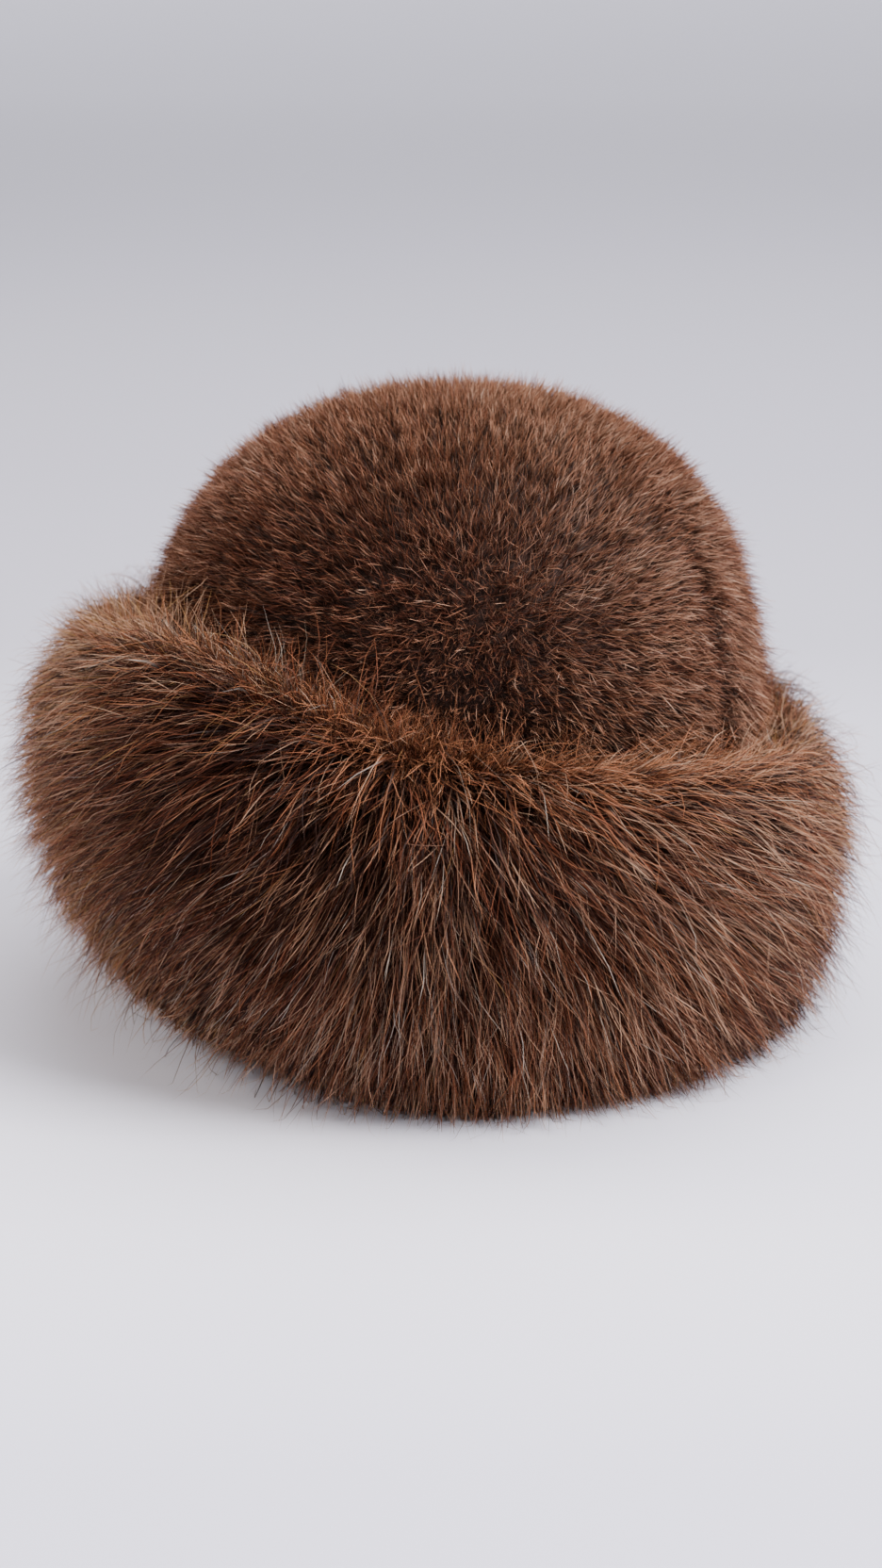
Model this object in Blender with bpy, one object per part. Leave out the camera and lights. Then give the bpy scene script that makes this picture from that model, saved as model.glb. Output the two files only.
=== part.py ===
"""A cossack hat in brown fur, in metres, +Z up, with its front towards -Y.

It has two pieces: a domed crown, which is a hollow shell as thick as its pelt and short pile, and a deep cuff
of long fur turned up round it, which is a backing band with locks of fur fused to it. The hat stands on the
cuff's foot. Azimuths are in degrees round the crown from the front, positive towards +X.
"""

import math
import random
from typing import NamedTuple

import bmesh
import bpy
from mathutils import Matrix, Vector

# The crown's oval at the hem, measured over its pile, and its wall
HALF_BREADTH = 0.1015
HALF_LENGTH = 0.1145
CROWN_HEIGHT = 0.199
CROWN_WALL = 0.012
CROWN_COLUMNS = 48
INSIDE_RINGS = 9

GROOVE_FADE = 0.020

# The cuff's backing, which lies under the outer form by the depth of its pile
GAP = 0.0008
PILE_DEPTH = 0.007
RIM_DIP = 0.012
CREST_SHARE, BULGE_SHARE = 0.16, 0.62
BELLY_FLATNESS = 1.25
CUFF_COLUMNS, OUTER_STATIONS, INNER_LEVELS = 36, 8, 7

# The locks
SECTION_LENGTH = 0.150
LOCK_SIDES, LOCK_STATIONS = 4, 4
LOCK_END = 0.985
LOWEST_LOCK = 0.0012
LOCK_CLEARANCE = 0.0014
LOCK_SPREAD = 0.2
LOCK_SIZES = (0.85, 1.15)
LOCK_LIFTS = (0.7, 1.25)
LOCK_STRAY = 0.15
LOCK_TURN_EASE, LOCK_LIFT_EASE = 1.3, 1.2
LOCK_ROOT_SIZE, LOCK_SWELL, LOCK_TAPER = 0.5, 2.0, 0.6
SEED = 11

SHARP_ANGLE = 40.0


class Ring(NamedTuple):
    """One level of the crown: its height, its size as a share of the hem's, and how far it leans to +X."""

    height: float
    spread: float
    lean: float


CROWN_RINGS = (
    Ring(height=0.0050, spread=1.000, lean=0.0000),
    Ring(height=0.0300, spread=1.002, lean=0.0000),
    Ring(height=0.0600, spread=1.004, lean=0.0000),
    Ring(height=0.0920, spread=1.002, lean=0.0000),
    Ring(height=0.1120, spread=0.990, lean=0.0000),
    Ring(height=0.1300, spread=0.958, lean=0.0000),
    Ring(height=0.1470, spread=0.902, lean=0.0000),
    Ring(height=0.1610, spread=0.824, lean=0.0003),
    Ring(height=0.1720, spread=0.735, lean=0.0006),
    Ring(height=0.1810, spread=0.625, lean=0.0010),
    Ring(height=0.1885, spread=0.495, lean=0.0014),
    Ring(height=0.1940, spread=0.355, lean=0.0018),
    Ring(height=0.1970, spread=0.215, lean=0.0022),
    Ring(height=0.1985, spread=0.090, lean=0.0024),
)


class Groove(NamedTuple):
    """An upright groove in the crown: its middle and half width in degrees, its depth and its top's height."""

    azimuth: float
    half_width: float
    depth: float
    top: float


# The sewn seam at the crown's +X side, and the parting of the hair in front
SEAM = Groove(azimuth=60.0, half_width=3.0, depth=0.0022, top=0.160)
PARTING = Groove(azimuth=14.0, half_width=6.0, depth=0.0012, top=0.140)
GROOVES = (SEAM, PARTING)


class Section(NamedTuple):
    """The cuff's outer form at one azimuth: its crest, bulge and foot, each by height and reach.

    A reach is measured straight out from the crown's side at the same height.
    """

    azimuth: float
    crest_height: float
    crest_reach: float
    bulge_height: float
    bulge_reach: float
    foot_height: float
    foot_reach: float


CUFF_SECTIONS = (
    Section(0.0, 0.109, 0.014, 0.058, 0.029, 0.000, 0.013),
    Section(45.0, 0.096, 0.013, 0.056, 0.028, 0.000, 0.013),
    Section(90.0, 0.084, 0.011, 0.055, 0.025, 0.000, 0.010),
    Section(135.0, 0.090, 0.012, 0.056, 0.026, 0.000, 0.010),
    Section(180.0, 0.100, 0.013, 0.058, 0.028, 0.000, 0.012),
    Section(225.0, 0.111, 0.013, 0.062, 0.030, 0.000, 0.010),
    Section(270.0, 0.119, 0.013, 0.068, 0.033, 0.007, 0.009),
    Section(315.0, 0.131, 0.014, 0.068, 0.032, 0.006, 0.012),
)


class LockRow(NamedTuple):
    """A ring of locks.

    The root is a share along the section from the rim, the lift is how far the tips stand out of the outer
    form, and the comb is how far the locks turn sideways, away from the front, for each metre of length.
    """

    root: float
    count: int
    length: float
    width: float
    thickness: float
    lift: float
    comb: float


LOCK_ROWS = (
    LockRow(root=0.00, count=22, length=0.046, width=0.028, thickness=0.012, lift=0.001, comb=0.8),
    LockRow(root=0.14, count=22, length=0.056, width=0.028, thickness=0.014, lift=0.003, comb=1.3),
    LockRow(root=0.29, count=22, length=0.058, width=0.028, thickness=0.014, lift=0.004, comb=1.6),
    LockRow(root=0.46, count=22, length=0.056, width=0.028, thickness=0.014, lift=0.004, comb=1.4),
    LockRow(root=0.64, count=22, length=0.050, width=0.028, thickness=0.014, lift=0.003, comb=0.8),
)


class Fur(NamedTuple):
    """A piece's finish."""

    name: str
    colour: tuple[float, float, float]
    roughness: float


SHORT_FUR = Fur("short brown fur", (0.150, 0.078, 0.050), 0.85)
LONG_FUR = Fur("long brown fur", (0.190, 0.090, 0.045), 0.80)


def smooth_between(before: float, start: float, end: float, after: float, share: float) -> float:
    """The Catmull-Rom value between start and end, with the values before and after them."""
    return 0.5 * (
        2 * start
        + (end - before) * share
        + (2 * before - 5 * start + 4 * end - after) * share**2
        + (3 * start - before - 3 * end + after) * share**3
    )


def crown_size(height: float) -> tuple[float, float]:
    """The crown's spread and lean at a height, smooth between the rows of its table."""
    rings = CROWN_RINGS
    height = min(max(height, rings[0].height), rings[-1].height)
    at = max(i for i, ring in enumerate(rings[:-1]) if ring.height <= height)
    near = [rings[min(max(i, 0), len(rings) - 1)] for i in range(at - 1, at + 3)]
    share = (height - near[1].height) / (near[2].height - near[1].height)
    spread = smooth_between(*(ring.spread for ring in near), share)
    lean = smooth_between(*(ring.lean for ring in near), share)
    return spread, lean


def crown_point(azimuth: float, height: float, inset: float = 0.0) -> Vector:
    """A point of the crown's oval at a height, or one that lies inside it by the inset."""
    turn = math.radians(azimuth)
    spread, lean = crown_size(height)
    across = max(HALF_BREADTH * spread - inset, 0.0)
    along = max(HALF_LENGTH * spread - inset, 0.0)
    return Vector((lean + across * math.sin(turn), -along * math.cos(turn), height))


def beside_crown(azimuth: float, reach: float, height: float) -> Vector:
    """A point that lies straight out from the crown's side by the reach."""
    turn = math.radians(azimuth)
    outward = Vector((math.sin(turn) / HALF_BREADTH, -math.cos(turn) / HALF_LENGTH, 0.0))
    return crown_point(azimuth, height) + outward.normalized() * reach


def cuff_section(azimuth: float) -> Section:
    """The cuff's section at any azimuth, smooth between the rows of its table."""
    step = 360.0 / len(CUFF_SECTIONS)
    at = (azimuth % 360.0) / step
    first = int(at)
    near = [CUFF_SECTIONS[(first + i) % len(CUFF_SECTIONS)] for i in (-1, 0, 1, 2)]
    columns = zip(*(row[1:] for row in near))
    return Section(azimuth, *(smooth_between(*column, at - first) for column in columns))


def section_point(section: Section, along: float, depth: float) -> tuple[float, float]:
    """The reach and height of a point of the section's outer line, or of one that lies inside it.

    The line is three quarter turns: from the rim at 0 over the crest, out to the bulge, and in to the foot at
    1. The last one is flatter than an ellipse.
    """
    crest_height = section.crest_height - depth
    bulge_reach = section.bulge_reach - depth
    foot_height = max(section.foot_height, 0.0)
    if along < CREST_SHARE:
        turn = math.pi / 2 * along / CREST_SHARE
        reach = section.crest_reach - (section.crest_reach - GAP) * math.cos(turn)
        return reach, crest_height - RIM_DIP * (1 - math.sin(turn))
    if along < BULGE_SHARE:
        turn = math.pi / 2 * (along - CREST_SHARE) / (BULGE_SHARE - CREST_SHARE)
        reach = section.crest_reach + (bulge_reach - section.crest_reach) * math.sin(turn)
        return reach, section.bulge_height + (crest_height - section.bulge_height) * math.cos(turn)
    turn = math.pi / 2 * (along - BULGE_SHARE) / (1 - BULGE_SHARE)
    reach = section.foot_reach + (bulge_reach - section.foot_reach) * math.cos(turn) ** BELLY_FLATNESS
    drop = (section.bulge_height - foot_height) * math.sin(turn) ** BELLY_FLATNESS
    return reach, section.bulge_height - drop


def cuff_point(azimuth: float, along: float, depth: float = 0.0) -> Vector:
    """A point of the cuff's outer form, or one that lies inside it by the depth."""
    reach, height = section_point(cuff_section(azimuth), along, depth)
    return beside_crown(azimuth, reach, height)


def clear_of_neighbours(point: Vector) -> Vector:
    """A lock's point, moved out where it is too near the crown, and up where it is too near the floor."""
    height = max(point.z, LOWEST_LOCK)
    spread, lean = crown_size(height)
    across = HALF_BREADTH * spread + LOCK_CLEARANCE
    along = HALF_LENGTH * spread + LOCK_CLEARANCE
    share = min(math.hypot((point.x - lean) / across, point.y / along), 1.0)
    return Vector((lean + (point.x - lean) / share, point.y / share, height))


def crown_dent(azimuth: float, height: float) -> float:
    """How far the grooves sink the crown's surface at a point, fading out towards their tops."""
    dent = 0.0
    for groove in GROOVES:
        away = abs((azimuth - groove.azimuth + 180.0) % 360.0 - 180.0)
        fade = min(max((groove.top - height) / GROOVE_FADE, 0.0), 1.0)
        dent += groove.depth * fade * max(0.0, 1.0 - away / groove.half_width)
    return dent


def crown_azimuths() -> list[float]:
    """The crown's columns, evenly spaced but for those moved to the middle and the edges of each groove."""
    step = 360.0 / CROWN_COLUMNS
    azimuths = [step * i for i in range(CROWN_COLUMNS)]
    for groove in GROOVES:
        middle = round(groove.azimuth / step)
        for shift in (-1, 0, 1):
            azimuths[middle + shift] = groove.azimuth + shift * groove.half_width
    return azimuths


def add_ring(shape: bmesh.types.BMesh, points: list[Vector]) -> list[bmesh.types.BMVert]:
    """Adds the points of a ring."""
    return [shape.verts.new(point) for point in points]


def bridge(
    shape: bmesh.types.BMesh, one: list[bmesh.types.BMVert], other: list[bmesh.types.BMVert]
) -> None:
    """Joins two rings of as many points with a band of faces."""
    for i in range(len(one)):
        j = (i + 1) % len(one)
        shape.faces.new((one[i], one[j], other[j], other[i]))


def close_to_point(
    shape: bmesh.types.BMesh, ring: list[bmesh.types.BMVert], point: Vector
) -> None:
    """Closes a ring with a fan of faces to one point."""
    tip = shape.verts.new(point)
    for i in range(len(ring)):
        shape.faces.new((ring[i], ring[(i + 1) % len(ring)], tip))


def add_object(name: str, shape: bmesh.types.BMesh) -> bpy.types.Object:
    """Makes an object of the shape, facing outwards."""
    bmesh.ops.recalc_face_normals(shape, faces=shape.faces)
    mesh = bpy.data.meshes.new(name)
    shape.to_mesh(mesh)
    shape.free()
    made = bpy.data.objects.new(name, mesh)
    bpy.context.collection.objects.link(made)
    return made


def build_crown() -> bpy.types.Object:
    """The crown: a domed shell, open below, with a flat hem."""
    shape = bmesh.new()
    azimuths = crown_azimuths()
    outside = []
    for level in CROWN_RINGS:
        dents = [crown_dent(azimuth, level.height) for azimuth in azimuths]
        points = [crown_point(azimuth, level.height, dent) for azimuth, dent in zip(azimuths, dents)]
        outside.append(add_ring(shape, points))
    lean = CROWN_RINGS[-1].lean
    close_to_point(shape, outside[-1], Vector((lean, 0.0, CROWN_HEIGHT)))

    # The inside is the same dome, smaller by the wall, at levels that an even quarter turn gives.
    inside = []
    hem, ceiling = CROWN_RINGS[0].height, CROWN_HEIGHT - CROWN_WALL
    for i in range(INSIDE_RINGS):
        height = hem + (ceiling - hem) * math.sin(math.pi / 2 * i / INSIDE_RINGS)
        outside_height = height * CROWN_HEIGHT / ceiling
        points = [crown_point(azimuth, outside_height, CROWN_WALL) for azimuth in azimuths]
        inside.append(add_ring(shape, [Vector((point.x, point.y, height)) for point in points]))
    close_to_point(shape, inside[-1], Vector((lean, 0.0, ceiling)))

    for rings in (outside, inside, [inside[0], outside[0]]):
        for one, other in zip(rings, rings[1:]):
            bridge(shape, one, other)
    return add_object("crown", shape)


def build_backing() -> bpy.types.Object:
    """The cuff without its locks: a closed roll whose inner side follows the crown and whose foot is flat."""
    shape = bmesh.new()
    azimuths = [360.0 * i / CUFF_COLUMNS for i in range(CUFF_COLUMNS)]
    rings = []
    for station in range(OUTER_STATIONS + 1):
        along = station / OUTER_STATIONS
        rings.append(add_ring(shape, [cuff_point(azimuth, along, PILE_DEPTH) for azimuth in azimuths]))
    for level in range(INNER_LEVELS):
        points = []
        for azimuth in azimuths:
            rim, foot = cuff_point(azimuth, 0.0, PILE_DEPTH), cuff_point(azimuth, 1.0, PILE_DEPTH)
            height = foot.z + (rim.z - foot.z) * level / INNER_LEVELS
            points.append(beside_crown(azimuth, GAP, height))
        rings.append(add_ring(shape, points))
    for one, other in zip(rings, rings[1:] + rings[:1]):
        bridge(shape, one, other)
    return add_object("fur_cuff", shape)


def build_lock(row: LockRow, azimuth: float, size: float, lift: float, comb: float) -> bpy.types.Object:
    """One lock: a ridged horn whose root lies in the backing, and whose tip stands out of the pile."""
    shape = bmesh.new()
    length = size * row.length
    spine = []
    for station in range(LOCK_STATIONS + 1):
        share = station / LOCK_STATIONS
        along = min(row.root + length / SECTION_LENGTH * share, LOCK_END)
        turned = azimuth + math.degrees(comb * length * share**LOCK_TURN_EASE / (HALF_BREADTH + row.width))
        spine.append((turned, along, PILE_DEPTH - (lift + PILE_DEPTH) * share**LOCK_LIFT_EASE))
    points = [cuff_point(*place) for place in spine]
    rings = []
    for i in range(LOCK_STATIONS):
        share = i / LOCK_STATIONS
        turned, along, depth = spine[i]
        run = (points[i + 1] - points[max(i - 1, 0)]).normalized()
        side = run.cross(cuff_point(turned, along, depth - PILE_DEPTH) - points[i]).normalized()
        up = side.cross(run)
        swell = size * min(1.0, LOCK_ROOT_SIZE + LOCK_SWELL * share) * (1 - share) ** LOCK_TAPER
        ring = []
        for corner in range(LOCK_SIDES):
            turn = math.pi / 2 + 2 * math.pi * corner / LOCK_SIDES
            across = side * 0.5 * row.width * swell * math.cos(turn)
            above = up * 0.5 * row.thickness * swell * math.sin(turn)
            ring.append(clear_of_neighbours(points[i] + across + above))
        rings.append(add_ring(shape, ring))
    for one, other in zip(rings, rings[1:]):
        bridge(shape, one, other)
    close_to_point(shape, rings[-1], clear_of_neighbours(points[-1]))
    shape.faces.new(rings[0])
    return add_object("lock", shape)


def shells_of(shape: bmesh.types.BMesh) -> list[list[bmesh.types.BMFace]]:
    """The shape's separate shells of faces, the largest last."""
    unseen = set(shape.faces)
    shells = []
    while unseen:
        shell = [unseen.pop()]
        for face in shell:
            near = {other for edge in face.edges for other in edge.link_faces} & unseen
            unseen -= near
            shell.extend(near)
        shells.append(shell)
    return sorted(shells, key=len)


def fuse_locks(backing: bpy.types.Object, locks: list[bpy.types.Object]) -> None:
    """Joins the locks to the backing in one body, without the sealed pockets that they enclose between them."""
    others = bpy.data.collections.new("locks")
    for lock in locks:
        others.objects.link(lock)
    fuse = backing.modifiers.new("Fuse", "BOOLEAN")
    fuse.operation = "UNION"
    fuse.operand_type = "COLLECTION"
    fuse.collection = others
    graph = bpy.context.evaluated_depsgraph_get()
    shape = bmesh.new()
    shape.from_mesh(backing.evaluated_get(graph).data)
    bmesh.ops.triangulate(shape, faces=shape.faces)
    for pocket in shells_of(shape)[:-1]:
        bmesh.ops.delete(shape, geom=pocket, context="FACES")
    backing.modifiers.remove(fuse)
    shape.to_mesh(backing.data)
    shape.free()
    for lock in locks:
        bpy.data.objects.remove(lock)
    bpy.data.collections.remove(others)


def build_cuff() -> bpy.types.Object:
    """The cuff: its backing with the rows of locks fused to it.

    The locks turn away from the middle of the front, most at 45 degrees to each side, and hang straight
    behind.
    """
    backing = build_backing()
    rng = random.Random(SEED)
    locks = []
    for number, row in enumerate(LOCK_ROWS):
        for i in range(row.count):
            place = i + 0.5 * (number % 2) + rng.uniform(-LOCK_SPREAD, LOCK_SPREAD)
            azimuth = 360.0 * place / row.count
            turn = math.radians(azimuth)
            comb = row.comb * math.sin(turn) * (1 + math.cos(turn)) / 2
            comb += rng.uniform(-LOCK_STRAY, LOCK_STRAY)
            size, lift = rng.uniform(*LOCK_SIZES), row.lift * rng.uniform(*LOCK_LIFTS)
            locks.append(build_lock(row, azimuth, size, lift, comb))
    fuse_locks(backing, locks)
    return backing


def dress(piece: bpy.types.Object, fur: Fur) -> None:
    """Gives a piece its material and smooth shading."""
    material = bpy.data.materials.new(fur.name)
    material.use_nodes = True
    shader = material.node_tree.nodes["Principled BSDF"]
    shader.inputs["Base Color"].default_value = (*fur.colour, 1.0)
    shader.inputs["Roughness"].default_value = fur.roughness
    shader.inputs["Metallic"].default_value = 0.0
    piece.data.materials.append(material)
    piece.data.shade_smooth()
    piece.data.set_sharp_from_angle(angle=math.radians(SHARP_ANGLE))


def stand_at_origin(pieces: list[bpy.types.Object]) -> None:
    """Moves the pieces together, so that the middle of their box's bottom is the origin."""
    corners = [vertex.co for piece in pieces for vertex in piece.data.vertices]
    low = Vector(min(corner[axis] for corner in corners) for axis in range(3))
    high = Vector(max(corner[axis] for corner in corners) for axis in range(3))
    middle = (low + high) / 2
    for piece in pieces:
        piece.data.transform(Matrix.Translation((-middle.x, -middle.y, -low.z)))


def main() -> None:
    """Builds the hat."""
    for old in list(bpy.data.objects):
        bpy.data.objects.remove(old)
    crown, cuff = build_crown(), build_cuff()
    dress(crown, SHORT_FUR)
    dress(cuff, LONG_FUR)
    stand_at_origin([crown, cuff])


main()
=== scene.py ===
"""The looks of a cossack hat in brown fur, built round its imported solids.

The crown is a domed pelt with a short pile that grows away from a whorl in front, and the cuff is a soft
roll with long fur in several coats. Every hair is a narrow ribbon that tapers to its tip, and the hairs of a
coat are joined in one or a few meshes. Azimuths are in degrees round the crown from the front, positive
towards +X. Lengths are in metres.
"""

import logging
import math
from dataclasses import dataclass, replace
from enum import Enum
from functools import cached_property
from typing import Callable, Iterable

import bpy
import numpy as np
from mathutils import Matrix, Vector


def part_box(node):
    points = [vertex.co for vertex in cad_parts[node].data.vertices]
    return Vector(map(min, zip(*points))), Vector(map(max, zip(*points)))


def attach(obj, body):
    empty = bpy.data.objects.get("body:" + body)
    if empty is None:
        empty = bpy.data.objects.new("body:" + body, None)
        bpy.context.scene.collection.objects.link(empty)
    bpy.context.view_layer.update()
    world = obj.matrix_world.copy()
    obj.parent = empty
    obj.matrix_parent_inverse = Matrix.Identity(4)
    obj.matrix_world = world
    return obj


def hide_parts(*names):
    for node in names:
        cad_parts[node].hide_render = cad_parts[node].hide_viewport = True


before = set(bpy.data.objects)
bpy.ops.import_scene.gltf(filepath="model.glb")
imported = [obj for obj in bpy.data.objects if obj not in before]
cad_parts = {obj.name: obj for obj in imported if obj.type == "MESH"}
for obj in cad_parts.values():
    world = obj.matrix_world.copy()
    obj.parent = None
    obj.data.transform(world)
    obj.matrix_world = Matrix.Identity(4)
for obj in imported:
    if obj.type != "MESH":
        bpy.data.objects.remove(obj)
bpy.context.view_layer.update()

Array = np.ndarray
Surface = Callable[[Array, Array], Array]

LOG = logging.getLogger("cossack_hat")
BODY = "root"
HAIR_MAP = "OFBake"
SEED = 20

# How far above the floor fur and skin are laid, and the lowest that any ribbon reaches
FLOOR_CLEARANCE, LOWEST = 0.0006, 0.0002
# The least numbers that vectors, crossings and steps are divided by; points nearer than the last are merged
NO_VECTOR, NO_CROSSING, NO_STEP = 1e-12, 1e-9, 1e-6
# The rows and columns of cells in which places are scattered, and the most numbers in a table of distances
SCATTER_GRID, LARGEST_TABLE = (160, 240), 4_000_000

# A hair's width at its root as a share of the full one, how fast it gains the rest, and how late it tapers
ROOT_WIDTH, SWELL, TAPER = 0.6, 1.6, 2.2
# A hair's place in the map: U is its tone, with the ribbon's two edges beside it, and V runs from root to tip
TONE_START, TONE_RANGE, EDGE = 0.03, 0.94, 0.004
ALONG_START, ALONG_RANGE = 0.02, 0.96


def unit(vectors: Array) -> Array:
    """The vectors, scaled to length 1."""
    return vectors / np.maximum(np.linalg.norm(vectors, axis=-1, keepdims=True), NO_VECTOR)


def across(one: Array, other: Array) -> Array:
    """The unit vectors at right angles to two sets of vectors."""
    return unit(np.cross(one, other))


def signed(azimuth: Array) -> Array:
    """The azimuths, brought between -180 and 180 degrees."""
    return (azimuth + 180.0) % 360.0 - 180.0


def smooth_rows(table: Array, at: Array, closed: bool) -> Array:
    """Reads a table of numbers between its rows, on Catmull-Rom curves.

    Args:
        table: The rows, each a row of numbers.
        at: Places in the table, 0 for its first row.
        closed: Whether the first row follows the last.

    Returns:
        A row of numbers for each place.
    """
    count = len(table)
    if closed:
        first = np.floor(at).astype(int)
    else:
        at = np.clip(at, 0, count - 1)
        first = np.minimum(at.astype(int), count - 2)
    share = (at - first)[..., None]

    def row(shift: int) -> Array:
        """The rows that lie a number of rows after each place's own."""
        index = first + shift
        return table[index % count] if closed else table[np.clip(index, 0, count - 1)]

    before, start, end, after = row(-1), row(0), row(1), row(2)
    return 0.5 * (
        2 * start
        + (end - before) * share
        + (2 * before - 5 * start + 4 * end - after) * share**2
        + (3 * start - before - 3 * end + after) * share**3
    )


def straight_rows(table: Array, at: Array) -> Array:
    """Reads a table between its rows on straight lines, by the value in its first column."""
    return np.stack([np.interp(at, table[:, 0], column) for column in table[:, 1:].T], axis=-1)


@dataclass(frozen=True)
class Ripple:
    """A smooth, seamless wave over a form, which varies hair from place to place.

    Args:
        turns: How often it waves once round the hat.
        rises: How often it waves from the form's one edge to the other.
        size: Its greatest value.
        start: Its phase, in radians.
    """

    turns: int
    rises: float
    size: float
    start: float

    def at(self, azimuth: Array, along: Array) -> Array:
        """Its value at each place."""
        wave = np.radians(self.turns * azimuth) + 2 * math.pi * self.rises * along + self.start
        return self.size * np.sin(wave)


@dataclass(frozen=True)
class Hill:
    """A smooth hill over a line of numbers, 1 high at its middle.

    Args:
        middle: Where it is highest.
        width: How far from there it falls to about a third.
    """

    middle: float
    width: float

    def at(self, values: Array) -> Array:
        """Its height at each value."""
        return np.exp(-(((values - self.middle) / self.width) ** 2))


@dataclass(frozen=True)
class Slope:
    """A straight slope over a line of numbers, level beyond its ends.

    Args:
        start: Where it is 0.
        end: Where it is 1, above or below the start.
    """

    start: float
    end: float

    def at(self, values: Array) -> Array:
        """Its height at each value."""
        return np.clip((values - self.start) / (self.end - self.start), 0, 1)


@dataclass(frozen=True)
class Patch:
    """A soft-edged patch of a form, in which a fur has more or less of something than elsewhere.

    Args:
        size: How much more it is where the patch is strongest.
        around: Where the patch lies by azimuth; all round, if not given.
        along: Where it lies along the form; all over, if not given.
    """

    size: float
    around: Hill | Slope | None = None
    along: Hill | Slope | None = None

    def at(self, azimuth: Array, along: Array) -> Array:
        """Its value at each place.

        Args:
            azimuth: The places' azimuths.
            along: Where they lie along the form.

        Returns:
            The values.
        """
        value = np.full(azimuth.shape, self.size)
        if self.around:
            value = value * self.around.at(signed(azimuth))
        if self.along:
            value = value * self.along.at(along)
        return value


def total(fields: Iterable[Ripple | Patch], azimuth: Array, along: Array) -> Array:
    """The sum of some ripples or patches at each place."""
    return sum((field.at(azimuth, along) for field in fields), np.zeros(azimuth.shape))


@dataclass
class Lay:
    """The lay of a form at some places.

    Args:
        points: The places' points.
        down: Unit vectors down the form.
        around: Unit vectors round it.
        out: Unit vectors out of it.
        rate: How many degrees round it and how many steps along it each metre is, as two rows.
    """

    points: Array
    down: Array
    around: Array
    out: Array
    rate: Array


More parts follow.
